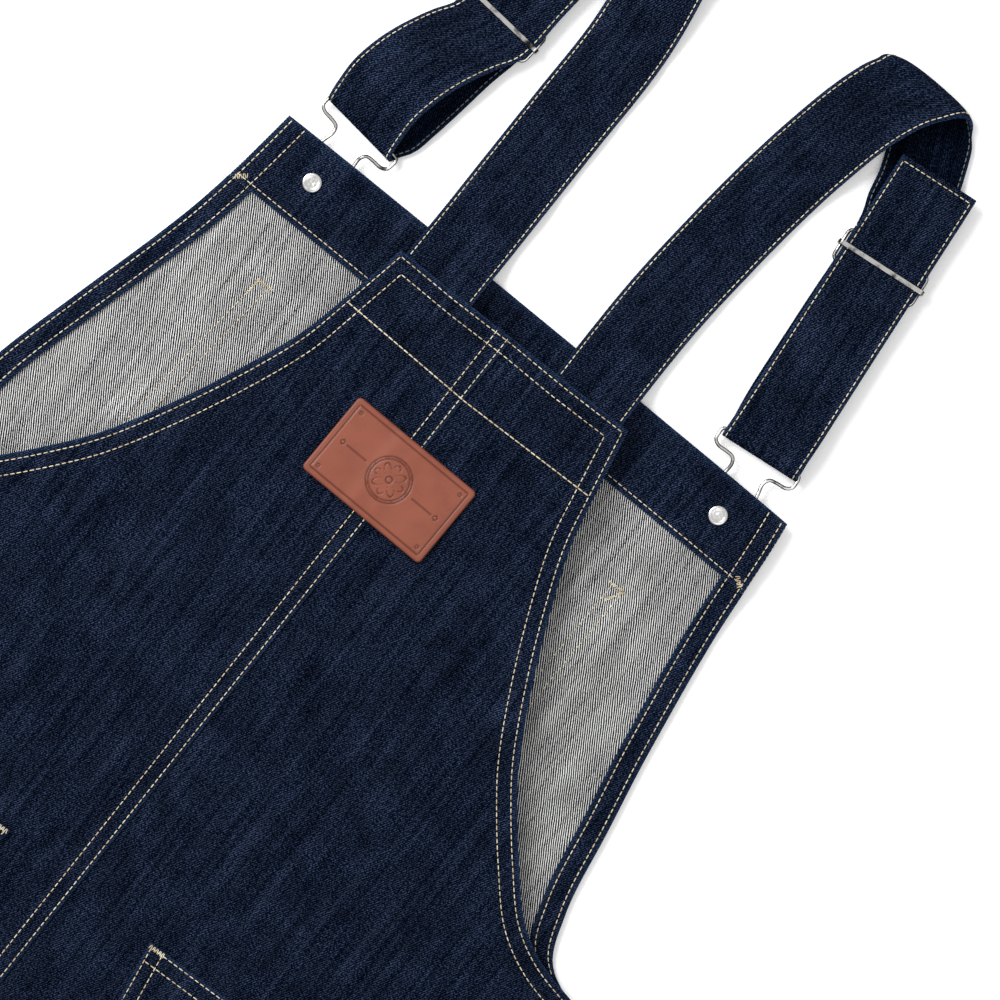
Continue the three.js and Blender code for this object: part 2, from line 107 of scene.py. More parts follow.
# The piece rides on the body and stands for the CAD nodes, which are hidden.
def attach(piece, body, slot, *nodes):
    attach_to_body(piece, body)
    if nodes:
        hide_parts(*nodes)


def step(value, low, high):
    t = np.clip((np.asarray(value, float) - low) / (high - low), 0, 1)
    return t * t * (3 - 2 * t)


def mix(a, b, t):
    return a + (b - a) * t


def turnedBy(x, y, angle):
    return x * math.cos(angle) - y * math.sin(angle), x * math.sin(angle) + y * math.cos(angle)


def bell(value, centre, width):
    return np.exp(-(((np.asarray(value, float) - centre) / width) ** 2))


# Soft waves about size apart, between about -1 and 1, from the seed's draws.
def ripples(x, y, size, seed, count=7):
    draws = np.random.RandomState(seed)
    total = 0
    for _ in range(count):
        angle, stretch, phase = draws.uniform(0, 2 * math.pi), draws.uniform(0.7, 1.6), draws.uniform(0, 6.3)
        reach = 2 * math.pi / (size * stretch)
        total = total + np.sin((x * math.cos(angle) + y * math.sin(angle)) * reach + phase)
    return total / math.sqrt(count * 2)


# A centripetal Catmull-Rom curve through the points.
def smoothLine(points, count=400):
    p = np.array(points, float)
    p = np.vstack([2 * p[0] - p[1], p, 2 * p[-1] - p[-2]])
    knots = np.concatenate([[0], np.cumsum(np.linalg.norm(np.diff(p, axis=0), axis=1) ** 0.5)])
    line = []
    for t in np.linspace(knots[1], knots[-2] - 1e-9, count):
        k = min(max(int(np.searchsorted(knots, t, side="right")) - 1, 1), len(p) - 3)
        t0, t1, t2, t3 = knots[k - 1:k + 3]
        a1 = mix(p[k - 1], p[k], (t - t0) / (t1 - t0))
        a2 = mix(p[k], p[k + 1], (t - t1) / (t2 - t1))
        a3 = mix(p[k + 1], p[k + 2], (t - t2) / (t3 - t2))
        b1 = mix(a1, a2, (t - t0) / (t2 - t0))
        b2 = mix(a2, a3, (t - t1) / (t3 - t1))
        line.append(mix(b1, b2, (t - t1) / (t2 - t1)))
    return np.array(line)


def lengthsAlong(line):
    return np.concatenate([[0], np.cumsum(np.linalg.norm(np.diff(line, axis=0), axis=1))])


def resample(line, spacing):
    along = lengthsAlong(line)
    count = max(int(round(along[-1] / spacing)), 1)
    places = np.linspace(0, along[-1], count + 1)
    return np.column_stack([np.interp(places, along, line[:, k]) for k in range(line.shape[1])])


# The line moved inwards from an outline that runs from the top down to the underarm.
def insideOf(line, distance):
    run = np.gradient(line, axis=0)
    run /= np.linalg.norm(run, axis=1)[:, None]
    return line + np.column_stack([run[:, 1], -run[:, 0]]) * distance


# Distance to the line, and how far along it the nearest point lies.
def nearLine(x, y, line):
    along = lengthsAlong(line)
    distance = np.empty(len(x))
    place = np.empty(len(x))
    for start in range(0, len(x), 4000):
        part = slice(start, start + 4000)
        gaps = np.hypot(x[part, None] - line[None, :, 0], y[part, None] - line[None, :, 1])
        nearest = gaps.argmin(axis=1)
        distance[part] = gaps[np.arange(len(nearest)), nearest]
        place[part] = along[nearest]
    return distance, place


armhole = smoothLine(g["armhole"])
bibSide = smoothLine(g["bibSide"])


def halfAt(line, y):
    return np.interp(-np.asarray(y, float), -line[:, 1], line[:, 0])


def skirtHalf(y):
    down = np.clip(-np.asarray(y, float), 0, None) / g["skirtLength"]
    return g["waistHalf"] + (g["hemHalf"] - g["waistHalf"]) * down ** 0.85


def backHalf(y):
    return np.where(np.asarray(y) > 0, halfAt(armhole, y), skirtHalf(y))


def frontHalf(y):
    return np.where(np.asarray(y) > 0, halfAt(bibSide, y), skirtHalf(y))


# The bib lies a little askew: bowed sideways and turned by about half a degree.
def laid(x, y):
    up = np.clip(y, 0, None) / g["bibTop"]
    a, b, c = g["bow"]
    return x + up * (a + up * (b + up * c)), y - g["bibTurn"] * x * up + 1.1 * up ** 4 * (1 - (x / g["bibHalf"]) ** 2)


# Heights of the cloth's upper faces above the table.

def frontTop(x, y):
    outside = np.hypot(
        np.clip(abs(x) - g["chestHalf"][1], 0, None),
        np.clip(np.maximum(g["chestBottom"] - y, y - g["chestTop"]), 0, None),
    )
    low = g["layer"] * (1 - step(outside, 8, 22))
    for bx, by in buttonAt.values():
        low = np.maximum(low, 5.6 * (1 - step(np.hypot(x - bx, y - by), 16, 62)))
    rise = 0.35 * (1 + ripples(x, y, 70, 3)) + 0.12 * ripples(x, y, 22, 8)
    return low + g["cloth"] + np.maximum(rise, 0.03)


def edgeDistance(x, y):
    distance, place = nearLine(abs(x), y, armhole)
    return np.where(y > -60, distance, 60), place


def backTop(x, y):
    room = np.where(y > 0, mix(g["waistHalf"], g["bibHalf"], step(y, 0, 190)), skirtHalf(y))
    raised = mix(g["ceiling"], g["yokeZ"], step(y, 172, 198))
    z = mix(g["sideLow"], raised, step(room - abs(x), 0, g["sideRoom"])) + g["cloth"]
    edge, place = edgeDistance(x, y)
    fromTop = g["yokeTop"] - y
    lift = np.where(x < 0, -2.4, 2.2)  # the left armhole lies down on the bib and the right one stands off it
    z = z + lift * np.exp(-edge / 26) * step(room - abs(x), 5, 60) * step(fromTop, 0, 60)
    z = z + 0.55 * (1 - step(np.minimum(edge, fromTop), 10.2, 12.6))  # turned edges are thicker
    z = z - 0.75 * np.exp(-np.minimum(edge, fromTop) / 0.8)
    roping = np.sin(2 * math.pi * (place + 2.2 * ripples(place, y, 30, 5)) / 8.6)
    z = z + 0.26 * roping * bell(edge, 7, 5)
    z = z + 0.2 * np.sin(2 * math.pi * (x + 2 * ripples(x, y, 26, 6)) / 9.4) * bell(fromTop, 6, 5)
    z = z + 0.45 * step(y, g["yokeSeam"] - 1.5, g["yokeSeam"] + 1.5) - 0.3 * bell(y, g["yokeSeam"], 1.6)
    z = z + 0.8 * step(abs(abs(x) - g["strapAt"]), 22, 19.5) * step(y, 224, 227)  # the tucked ends of the straps
    z = z + 0.15 * np.sin(2 * math.pi * (y + 2 * ripples(x, y, 30, 7)) / 8.8) * bell(x, -6.3, 7)
    z = z - 0.3 * (bell(edge, 3.6, 0.9) + bell(edge, 10.4, 0.9)) * step(y, -8, 0)
    waves = 0.75 * ripples(x, y, 120, 11) + 0.35 * ripples(x, y, 46, 12) + 0.1 * ripples(x, y, 17, 13)
    skirtFolds = 1.2 * ripples(x, y * 0.25, 95, 14) * step(-y, 60, 420)
    return z + waves * step(room - abs(x), -5, 40) + skirtFolds * step(room - abs(x), 5, 60)


# The left panel laps over the right one at the centre seam.
def backLeftTop(x, y):
    onLap = step(x, lap["start"] + 0.8, lap["start"] + 3.6)
    return backTop(x, y) + g["layer"] * onLap - 0.55 * np.exp((x - lap["edge"]) / 0.7) * onLap


# Materials.

# Adds and joins the nodes of one material or group.
class Desk:

    def __init__(self, tree):
        self.tree, self.nodes = tree, tree.nodes

    def add(self, kind, **settings):
        node = self.nodes.new(kind)
        for name, value in settings.items():
            setattr(node, name, value)
        return node

    # A number or colour is set on the socket, and anything else is joined to it.
    def feed(self, target, value):
        if isinstance(value, (int, float, tuple)):
            target.default_value = value
        elif value is not None:
            self.tree.links.new(value, target)

    def math(self, operation, first, second=None, third=None, clamp=False):
        node = self.add("ShaderNodeMath", operation=operation, use_clamp=clamp)
        for place, value in zip(node.inputs, (first, second, third)):
            self.feed(place, value)
        return node.outputs[0]

    # The value's distance from a half, times reach.
    def swing(self, value, reach):
        return self.math("MULTIPLY", self.math("SUBTRACT", value, 0.5), reach)

    def mix(self, share, first, second):
        node = self.add("ShaderNodeMix", data_type="RGBA")
        for place, value in ((0, share), (6, first), (7, second)):
            self.feed(node.inputs[place], value)
        return node.outputs[2]

    def noise(self, vector, scale, detail=2.0, rough=0.5):
        node = self.add("ShaderNodeTexNoise")
        for name, value in (("Vector", vector), ("Scale", scale), ("Detail", detail), ("Roughness", rough)):
            self.feed(node.inputs[name], value)
        return node.outputs["Fac"]

    def ramp(self, value, low, high, toLow=0.0, toHigh=1.0):
        node = self.add("ShaderNodeMapRange", interpolation_type="SMOOTHSTEP")
        for name, number in (("Value", value), ("From Min", low), ("From Max", high), ("To Min", toLow),
                             ("To Max", toHigh)):
            self.feed(node.inputs[name], number)
        return node.outputs["Result"]

    def scaled(self, vector, scale):
        node = self.add("ShaderNodeMapping")
        self.feed(node.inputs["Scale"], scale)
        self.feed(node.inputs["Vector"], vector)
        return node.outputs["Vector"]

    # The vector times one number that may come from another node.
    def times(self, vector, scale):
        node = self.add("ShaderNodeVectorMath", operation="SCALE")
        self.feed(node.inputs[0], vector)
        self.feed(node.inputs["Scale"], scale)
        return node.outputs[0]

    def part(self, vector, axis):
        node = self.add("ShaderNodeSeparateXYZ")
        self.feed(node.inputs[0], vector)
        return node.outputs[axis]

    def attribute(self, name):
        return self.add("ShaderNodeAttribute", attribute_name=name).outputs["Fac"]

    def bump(self, shader, height, strength, distance):
        node = self.add("ShaderNodeBump")
        for name, value in (("Strength", strength), ("Distance", distance), ("Height", height)):
            self.feed(node.inputs[name], value)
        self.feed(shader.inputs["Normal"], node.outputs["Normal"])


twillInputs = [("Vector", "Vector"), ("Slant", "Float"), ("Ridges Per Metre", "Float"), ("Deep", "Color"),
               ("Bright", "Color"), ("Paleness", "Float"), ("Ridge Strength", "Float"), ("Dark Until", "Float"),
               ("Bright From", "Float"), ("Mottle", "Float"), ("Worn", "Float"), ("Worn Colour", "Color")]


# Twill cloth: slanting ridges of warp yarn with the paler weft between them.
def makeTwillGroup():
    group = bpy.data.node_groups.new("twillWeave", "ShaderNodeTree")
    for direction, sockets in (("INPUT", twillInputs), ("OUTPUT", [("Colour", "Color"), ("Height", "Float")])):
        for name, kind in sockets:
            group.interface.new_socket(name, in_out=direction, socket_type="NodeSocket" + kind)
    desk = Desk(group)
    given = desk.add("NodeGroupInput").outputs
    result = desk.add("NodeGroupOutput").inputs
    turn = desk.add("ShaderNodeVectorRotate", rotation_type="Z_AXIS")
    desk.feed(turn.inputs["Vector"], given["Vector"])
    desk.feed(turn.inputs["Angle"], given["Slant"])
    weaveSpace = desk.times(turn.outputs[0], given["Ridges Per Metre"])
    bend = desk.noise(desk.scaled(weaveSpace, (0.22, 0.1, 1)), 1.0, 1.0)
    phase = desk.math("ADD", desk.part(weaveSpace, 0), desk.math("MULTIPLY", bend, 0.9))
    wave = desk.math("SINE", desk.math("MULTIPLY", phase, 2 * math.pi))
    ridge = desk.math("MULTIPLY_ADD", wave, 0.5, 0.5)
    yarn = desk.ramp(desk.noise(desk.scaled(weaveSpace, (1.75, 1.05, 1)), 1.0, 2.0, 0.7), 0.3, 0.72)
    slub = desk.noise(desk.scaled(given["Vector"], (420, 14, 1)), 1.0)
    cloud = desk.noise(given["Vector"], 34.0, 3.0)
    patches = desk.noise(desk.scaled(given["Vector"], (110, 70, 1)), 1.0, 3.0)
    grain = desk.noise(given["Vector"], 1150.0, 1.0)
    strength = given["Ridge Strength"]
    woven = desk.math("ADD", desk.math("MULTIPLY", ridge, strength),
                      desk.math("MULTIPLY", yarn, desk.math("SUBTRACT", 1.0, strength)))
    pale = desk.math("ADD", woven, desk.math("SUBTRACT", given["Paleness"], 0.5))
    pale = desk.math("ADD", pale, desk.swing(slub, 0.5))
    pale = desk.math("ADD", pale, desk.swing(grain, 0.55))
    pale = desk.ramp(pale, given["Dark Until"], given["Bright From"])
    clouds = desk.math("SUBTRACT", desk.math("ADD", cloud, patches), 1.0)
    mottled = desk.math("MULTIPLY", desk.math("MULTIPLY", clouds, given["Mottle"]), 4.0)
    colour = desk.times(desk.mix(pale, given["Deep"], given["Bright"]), desk.math("ADD", 1.0, mottled))
    wornShare = desk.math("MULTIPLY", given["Worn"], desk.math("MULTIPLY_ADD", woven, 0.9, -0.05), clamp=True)
    desk.feed(result["Colour"], desk.mix(wornShare, colour, given["Worn Colour"]))
    desk.feed(result["Height"], woven)
    return group


twillGroup = makeTwillGroup()


def newMaterial(name, roughness, metallic=0.0, specular=0.5):
    material = bpy.data.materials.new(name)
    material.use_nodes = True
    shader = material.node_tree.nodes["Principled BSDF"]
    shader.inputs["Roughness"].default_value = roughness
    shader.inputs["Metallic"].default_value = metallic
    shader.inputs["Specular IOR Level"].default_value = specular
    return material, Desk(material.node_tree), shader


denimSides = {
    "denimRightSide": {"Slant": 0.52, "Ridges Per Metre": 980.0, "Deep": (0.0003, 0.0015, 0.0052, 1),
                       "Bright": (0.032, 0.0455, 0.089, 1), "Paleness": 0.33, "Ridge Strength": 0.38,
                       "Dark Until": 0.27, "Bright From": 0.81, "Mottle": 0.33, "Worn Colour": (0.03, 0.065, 0.15, 1)},
    # The straps' under face: deeper indigo, partly as less faded cloth and partly as painted shade for the insides of
    # the folds.
    "denimUnfadedAndShaded": {"Slant": 0.52, "Ridges Per Metre": 980.0, "Deep": (0.0002, 0.0008, 0.0028, 1),
                     "Bright": (0.011, 0.019, 0.04, 1), "Paleness": 0.28, "Ridge Strength": 0.38,
                     "Dark Until": 0.27, "Bright From": 0.81, "Mottle": 0.4, "Worn Colour": (0.014, 0.035, 0.08, 1)},
    "denimWrongSide": {"Slant": -0.55, "Ridges Per Metre": 930.0, "Deep": (0.004, 0.003, 0.011, 1),
                       "Bright": (0.62, 0.625, 0.6, 1), "Paleness": 0.345, "Ridge Strength": 0.84,
                       "Dark Until": 0.42, "Bright From": 0.66, "Mottle": 0.14, "Worn Colour": (0.16, 0.18, 0.23, 1)},
}


def makeDenim(name):
    material, desk, shader = newMaterial(name, 0.88, specular=0.01)
    twill = desk.add("ShaderNodeGroup", node_tree=twillGroup)
    desk.feed(twill.inputs["Vector"], desk.add("ShaderNodeUVMap", uv_map="UVMap").outputs["UV"])
    desk.feed(twill.inputs["Worn"], desk.attribute("worn"))
    for socketName, value in denimSides[name].items():
        desk.feed(twill.inputs[socketName], value)
    desk.feed(shader.inputs["Base Color"], twill.outputs["Colour"])
    desk.bump(shader, twill.outputs["Height"], 0.5, 0.00022)
    return material


threads = {"tanThread": ((0.4, 0.31, 0.185, 1), (0.68, 0.6, 0.43, 1)),
           "bobbinThread": ((0.05, 0.052, 0.06, 1), (0.13, 0.125, 0.115, 1))}


def makeThread(name):
    material, desk, shader = newMaterial(name, 0.6)
    shader.inputs["Sheen Weight"].default_value = 0.1
    place = desk.add("ShaderNodeTexCoord").outputs["Object"]
    tint = desk.ramp(desk.noise(place, 210.0), 0.3, 0.7)
    desk.feed(shader.inputs["Base Color"], desk.mix(tint, *threads[name]))
    desk.bump(shader, desk.noise(place, 3200.0, 1.0), 0.4, 0.0001)
    return material


metals = {
    # top is a painted highlight colour and side a painted shade colour; the colour is mixed between them by how far a
    # face points up, plus random rubbing.
    "polishedNickel": {"top": (0.6, 0.59, 0.57, 1), "side": (0.022, 0.02, 0.019, 1), "rough": (0.1, 0.24),
                       "litAndRubbed": (0.74, 1.06)},
    "buttonNickel": {"top": (0.62, 0.615, 0.61, 1), "side": (0.2, 0.19, 0.18, 1), "rough": (0.24, 0.42),
                     "litAndRubbed": (0.4, 1.02)},
}


# Plated metal: a painted highlight on faces that point up and painted shade down its sides, chosen by the surface
# normal's height, with random rubbed patches mixed in.
def makeMetal(name):
    finish = metals[name]
    material, desk, shader = newMaterial(name, 0.2, 1.0)
    place = desk.add("ShaderNodeTexCoord").outputs["Object"]
    upward = desk.part(desk.add("ShaderNodeNewGeometry").outputs["Normal"], "Z")
    litAndRubbed = desk.math("ADD", upward, desk.swing(desk.noise(place, 150.0, 3.0), 1.3))
    # Painted highlight and shade: upward faces get the top colour, steeper faces the side colour.
    bright = desk.ramp(litAndRubbed, *finish["litAndRubbed"])
    desk.feed(shader.inputs["Base Color"], desk.mix(bright, finish["side"], finish["top"]))
    scuffs = desk.noise(desk.scaled(place, (1, 1, 0.3)), 900.0, 4.0)
    desk.feed(shader.inputs["Roughness"], desk.ramp(scuffs, 0.35, 0.75, *finish["rough"]))
    desk.bump(shader, scuffs, 0.06, 0.0001)
    return material


leatherTones = {"deep": (0.178, 0.041, 0.019, 1), "bright": (0.212, 0.052, 0.025, 1),
                "pressed": (0.06, 0.016, 0.009, 1), "rim": (0.1, 0.028, 0.016, 1)}


def makeLeather():
    material, desk, shader = newMaterial("patchLeather", 0.5, specular=0.4)
    flat = desk.add("ShaderNodeUVMap", uv_map="UVMap").outputs["UV"]
    pores = desk.add("ShaderNodeTexVoronoi", feature="DISTANCE_TO_EDGE")
    desk.feed(pores.inputs["Scale"], 1500.0)
    desk.feed(pores.inputs["Vector"], flat)
    crease = desk.ramp(pores.outputs["Distance"], 0.0, 0.12)
    cloud = desk.noise(flat, 70.0, 4.0)
    colour = desk.mix(desk.ramp(cloud, 0.3, 0.7), leatherTones["deep"], leatherTones["bright"])
    colour = desk.mix(desk.math("MULTIPLY", desk.attribute("pressed"), 0.72), colour, leatherTones["pressed"])
    colour = desk.mix(desk.math("MULTIPLY", desk.attribute("worn"), 0.6), colour, leatherTones["rim"])
    desk.feed(shader.inputs["Base Color"], colour)
    desk.feed(shader.inputs["Roughness"], desk.ramp(cloud, 0.2, 0.8, 0.42, 0.6))
    grain = desk.math("ADD", desk.math("MULTIPLY", crease, 0.5), desk.noise(flat, 900.0, 3.0))
    desk.bump(shader, grain, 0.25, 0.00012)
    return material


denimRight = makeDenim("denimRightSide")
denimWrong = makeDenim("denimWrongSide")
denimUnderShaded = makeDenim("denimUnfadedAndShaded")
thread = makeThread("tanThread")
bobbin = makeThread("bobbinThread")
nickel = makeMetal("polishedNickel")
buttonMetal = makeMetal("buttonNickel")
leather = makeLeather()
rightUp, wrongUp = (denimRight, denimWrong), (denimWrong, denimRight)  # upper and under face
print("materials made")


# Making cloth.

def applyModifiers(piece):
    makeActive(piece)
    for modifier in list(piece.modifiers):
        bpy.ops.object.modifier_apply(modifier=modifier.name)


def verticesOf(mesh):
    co = np.empty(len(mesh.vertices) * 3)
    mesh.vertices.foreach_get("co", co)
    return co.reshape(-1, 3)


def setAttribute(mesh, name, values):
    attribute = mesh.attributes.new(name, "FLOAT", "POINT")
    attribute.data.foreach_set("value", np.asarray(values, np.float32))


# A grid whose point (column, row) goes to place(u, v) = x, y, z, flat u, flat v, worn, in millimetres.
# It gets its thickness below its face, or to both sides of its middle. Returns the piece and its flat area.
def cloth(name, columns, rows, place, thick=None, faces=(denimRight, denimRight), rounding=0, middle=False):
    thick = g["cloth"] if thick is None else thick
    columns, rows = np.array(columns, float), np.array(rows, float)
    deselectAll()
    bpy.ops.mesh.primitive_grid_add(x_subdivisions=len(columns) - 1, y_subdivisions=len(rows) - 1, size=2)
    piece = bpy.context.object
    piece.name = name
    mesh = piece.data
    co = verticesOf(mesh)
    u = columns[np.rint((co[:, 0] + 1) / 2 * (len(columns) - 1)).astype(int)]
    v = rows[np.rint((co[:, 1] + 1) / 2 * (len(rows) - 1)).astype(int)]
    x, y, z, flatU, flatV, worn = place(u, v)
    mesh.vertices.foreach_set("co", (np.column_stack([x, y, z]) * mm).ravel())
    corners = np.empty(len(mesh.loops), int)
    mesh.loops.foreach_get("vertex_index", corners)
    flat = np.column_stack([flatU, flatV]) * mm
    mesh.uv_layers["UVMap"].data.foreach_set("uv", flat[corners].ravel())
    setAttribute(mesh, "worn", worn)
    mesh.update()
    area = sum(face.area for face in mesh.polygons)
    for material in faces:
        mesh.materials.append(material)
    solid = piece.modifiers.new("thickness", "SOLIDIFY")
    solid.thickness = thick * mm
    solid.offset = 0 if middle else -1
    solid.material_offset = 1
    if rounding:
        soft = piece.modifiers.new("soft", "SUBSURF")
        soft.levels = soft.render_levels = rounding
    applyModifiers(piece)
    bpy.ops.object.shade_smooth_by_angle(angle=math.radians(50))
    return piece, area


# Ripples may not make the cloth's area more than its flat size gives.
def declareSheet(area, size):
    width, length = (v * mm for v in size)
    area = min(area, 0.999 * width * length)


def declare(piece, area, size, nodes, body="garment", slot="denim"):
    attach(piece, body, slot, *nodes)
    declareSheet(area, size)


def spread(low, high, spacing):
    return list(np.linspace(low, high, max(int(round((high - low) / spacing)), 1) + 1))


def steps(low, high, spacing):
    return spread(low, high, spacing)[:-1]


lapFrom = 100
fineEdge = [0, 0.7, 1.8, 3.6, 5.5, 7.5, 9.2, 10.4, 11.6, 13, 15.5]  # distances in from an armhole


# Rows of a panel from its hem up to its top, closer together where more happens.
def panelRows(top):
    hem = -g["skirtLength"]
    return (steps(hem, hem + g["hemDepth"], 6) + steps(hem + g["hemDepth"], -190, 12) + steps(-190, -20, 5)
            + steps(-20, 40, 2) + steps(40, top - 16, 3.2) + spread(top - 16, top, 1.3))


# The back.

def wornEdge(distance, reach=1.3):
    return 0.62 * np.exp(-np.asarray(distance) / reach)


def backPlace(sign):
    def place(u, y):
        # u counts in from the panel's outer edge in millimetres up to fineEdge's last, then in shares up to
        # the lap, and from lapFrom in shares of the lap
        fine, half = fineEdge[-1], backHalf(y)
        x = sign * (half - np.where(u <= fine, u, fine + (u - fine) * (half - fine + lap["start"])))
        onLap = u > lapFrom - 1
        if sign < 0:
            x = np.where(onLap, mix(lap["start"], lap["edge"], u - lapFrom), x)
            z = np.where(onLap & (u < lapFrom + 0.2), backTop(x, y), backLeftTop(x, y))
        else:
            x = np.where(onLap, mix(-lap["start"], lap["edge"] - lap["under"], u - lapFrom), x)
            z = backTop(x, y)
        edge, _ = edgeDistance(x, y)
        worn = wornEdge(np.minimum(edge, g["yokeTop"] - y))
        worn = worn + (0.6 * np.exp(-(lap["edge"] - x) / 1.2) if sign < 0 else 0)
        worn = worn + wornEdge(np.clip(y + g["skirtLength"], 0, None))
        return x, y, z, x, y, np.clip(worn, 0, 1)
    return place


shares = [fineEdge[-1] + share for share in np.linspace(0, 1, 70)[1:]]
leftLap = [lapFrom + share for share in (0.12, 0.25, 0.4, 0.6, 0.8, 0.93, 1)]
rightLap = [lapFrom + share for share in np.linspace(0, 1, 8)[1:]]
for sideName, sign in sides.items():
    columns = fineEdge + shares + (leftLap if sign < 0 else rightLap)
    if sign > 0:
        columns = columns[::-1]
    piece, area = cloth("backPanel" + sideName, columns, panelRows(g["yokeTop"]), backPlace(sign), faces=rightUp)
    declare(piece, area, (g["hemHalf"] + 12, g["skirtLength"] + g["yokeTop"]),
            ["back_panel_" + sideName.lower()])
print("back panels made")


def yokeFacingPlace(u, y):
    x = u * (backHalf(y) - 1.5)
    return x, y, backTop(x, y) - g["cloth"] - 3.3, x, y, wornEdge(g["yokeTop"] - y)


facingSteps = spread(g["yokeSeam"] - 1, g["yokeTop"] - 0.5, 4)
piece, area = cloth("yokeFacing", spread(-1, 1, 0.08), facingSteps, yokeFacingPlace, faces=wrongUp)
declare(piece, area, (2 * g["yokeHalf"] + 10, 40), ["yoke_facing"])

for sideName, sign in sides.items():
    route = resample(armhole[(armhole[:, 1] < 197) & (armhole[:, 0] < g["waistHalf"] - 30)], 4)

    def bindingPlace(u, k, sign=sign, route=route):
        lines = np.array([insideOf(route, d) for d in (1, 7.5, 14)])
        row, column = k.astype(int), u.astype(int)
        x, y = lines[column, row, 0], lines[column, row, 1]
        z = backTop(sign * x, y) - g["cloth"] - 0.5 - 0.1 * column
        return sign * x, y, z, u * 6.5, k * 4, wornEdge(u * 6.5)

    order = [2, 1, 0] if sign > 0 else [0, 1, 2]
    piece, area = cloth("armholeBinding" + sideName, order, list(range(len(route)))[::-1], bindingPlace,
                        thick=1.0, faces=wrongUp)
    declare(piece, area, (14, 4 * len(route)), ["armhole_binding_" + sideName.lower()])


def hemPlace(height):
    def place(u, y):
        x = u * (skirtHalf(y) - 1)
        return x, y, height(x, y), x, y, wornEdge(y + g["skirtLength"])
    return place


hemRows = spread(-g["skirtLength"] + 0.5, -g["skirtLength"] + g["hemDepth"], 5)
hemSize = (2 * g["hemHalf"], g["hemDepth"])
piece, area = cloth("backHem", spread(-1, 1, 0.015), hemRows, hemPlace(lambda x, y: backTop(x, y) - g["cloth"] - 0.35),
                    faces=wrongUp)
declare(piece, area, hemSize, ["back_hem_facing"])

# The front, seen from its inside.

def frontPlace(u, y):
    half = frontHalf(y)
    x, ly = laid(u * half, y)
    worn = wornEdge(g["bibTop"] - y) + wornEdge((1 - abs(u)) * half) + wornEdge(y + g["skirtLength"])
    return x, ly, frontTop(x, ly), x, ly, np.clip(worn, 0, 1)


edgeShares = [-1, -0.996, -0.988, -0.97] + spread(-0.955, 0.955, 0.0175) + [0.97, 0.988, 0.996, 1]
piece, area = cloth("frontPanel", edgeShares, panelRows(g["bibTop"]), frontPlace, faces=wrongUp)
declare(piece, area, (2 * g["hemHalf"], g["skirtLength"] + g["bibTop"]), ["front_panel"], slot="denim_reverse")

piece, area = cloth("frontHem", spread(-1, 1, 0.03), hemRows, hemPlace(lambda x, y: frontTop(x, y) + g["onPanel"]))
declare(piece, area, hemSize, ["front_hem_facing"])

facingLow = g["bibTop"] - g["facingDepth"]


def facingPlace(u, y):
    half = frontHalf(y)
    x, ly = laid(u * (half - 0.4), y)
    low, side = y - facingLow, (1 - abs(u)) * half
    top = g["bibTop"] - y
    z = frontTop(x, ly) + g["onPanel"] + 0.5 * (1 - step(low, 5.5, 7.5)) + 0.4 * (1 - step(side, 12, 14))
    z = z - 0.55 * np.exp(-np.minimum(np.minimum(low, side), top) / 0.7)
    z = z + 0.16 * np.sin(2 * math.pi * (x + 2 * ripples(x, y, 25, 21)) / 9) * bell(low, 4, 4)
    z = z + 0.25 * ripples(x, y, 34, 22) * step(top, 0, 10) + 0.12
    worn = wornEdge(low, 1.1) + wornEdge(side) + wornEdge(top)
    return x, ly, z, x, ly, np.clip(worn, 0, 1)


facingShares = [-1, -0.995, -0.985] + spread(-0.97, 0.97, 0.018) + [0.985, 0.995, 1]
facingRows = [facingLow + d for d in (0, 0.6, 1.6, 2.8, 4.2, 5.6, 7.2, 9)]
facingRows += spread(facingLow + 12, g["bibTop"] - 2, 2.6) + [g["bibTop"] - 0.8, g["bibTop"] - 0.1]
piece, area = cloth("bibFacing", facingShares, facingRows, facingPlace, faces=rightUp)
declare(piece, area, (2 * g["bibHalf"] + 14, g["facingDepth"]), ["bib_facing"])

for sideName, sign in sides.items():
    def bibBindingPlace(u, y, sign=sign):
        half = frontHalf(y)
        x, ly = laid(sign * (half - u), y)
        z = frontTop(x, ly) + 1.3 + 0.35 - 0.55 * np.exp(-np.minimum(u, g["bindingWidth"] - u) / 0.7)
        z = z + 0.17 * np.sin(2 * math.pi * (y + 2 * ripples(x, y, 25, 23)) / 8.4) * bell(u, 7, 5)
        z = z - 0.25 * (bell(u, 3, 0.8) + bell(u, 11, 0.8))
        worn = wornEdge(np.minimum(u, g["bindingWidth"] - u), 1.2)
        return x, ly, z, x, ly, worn

    across = [0, 0.6, 1.6, 3, 4.6, 7, 9.4, 11, 12.4, 13.4, 14]
    if sign > 0:
        across = across[::-1]
    piece, area = cloth("bibBinding" + sideName, across, spread(6, facingLow - 0.3, 2.6), bibBindingPlace,
                        faces=rightUp)
    declare(piece, area, (g["bindingWidth"] + 8, 230), ["bib_binding_" + sideName.lower()])


def chestPlace(u, v):
    x, y = laid(u * mix(g["chestHalf"][1], g["chestHalf"][0], v), mix(g["chestBottom"], g["chestTop"], v))
    edge = np.minimum(np.minimum(v, 1 - v) * 138, (1 - abs(u)) * 115)
    return x, y, np.full_like(x, 1.25), x, y, wornEdge(edge)


piece, area = cloth("chestPocket", spread(-1, 1, 0.05), spread(0, 1, 0.05), chestPlace, thick=1.1, faces=wrongUp)
declare(piece, area, (238, 140), ["chest_pocket"])

for sideName, sign in sides.items():
    def seamPlace(u, y, sign=sign):
        x = sign * (skirtHalf(y) - 1.5 - u)
        return x, y, frontTop(x, y) + 1.5, x, y, 0.4 * wornEdge(u)

    across = [10, 5, 0] if sign > 0 else [0, 5, 10]
    piece, area = cloth("sideSeam" + sideName, across, spread(-g["skirtLength"] + 27, -9, 8), seamPlace,
                        faces=wrongUp)
    declare(piece, area, (10, g["skirtLength"] - 30), ["side_seam_" + sideName.lower()])
print("front made")

# Back pockets.

pocket = {"top": -101, "inner": 43.5, "width": 150, "drop": 150, "point": 15, "lean": 0.165, "tilt": 0.035}


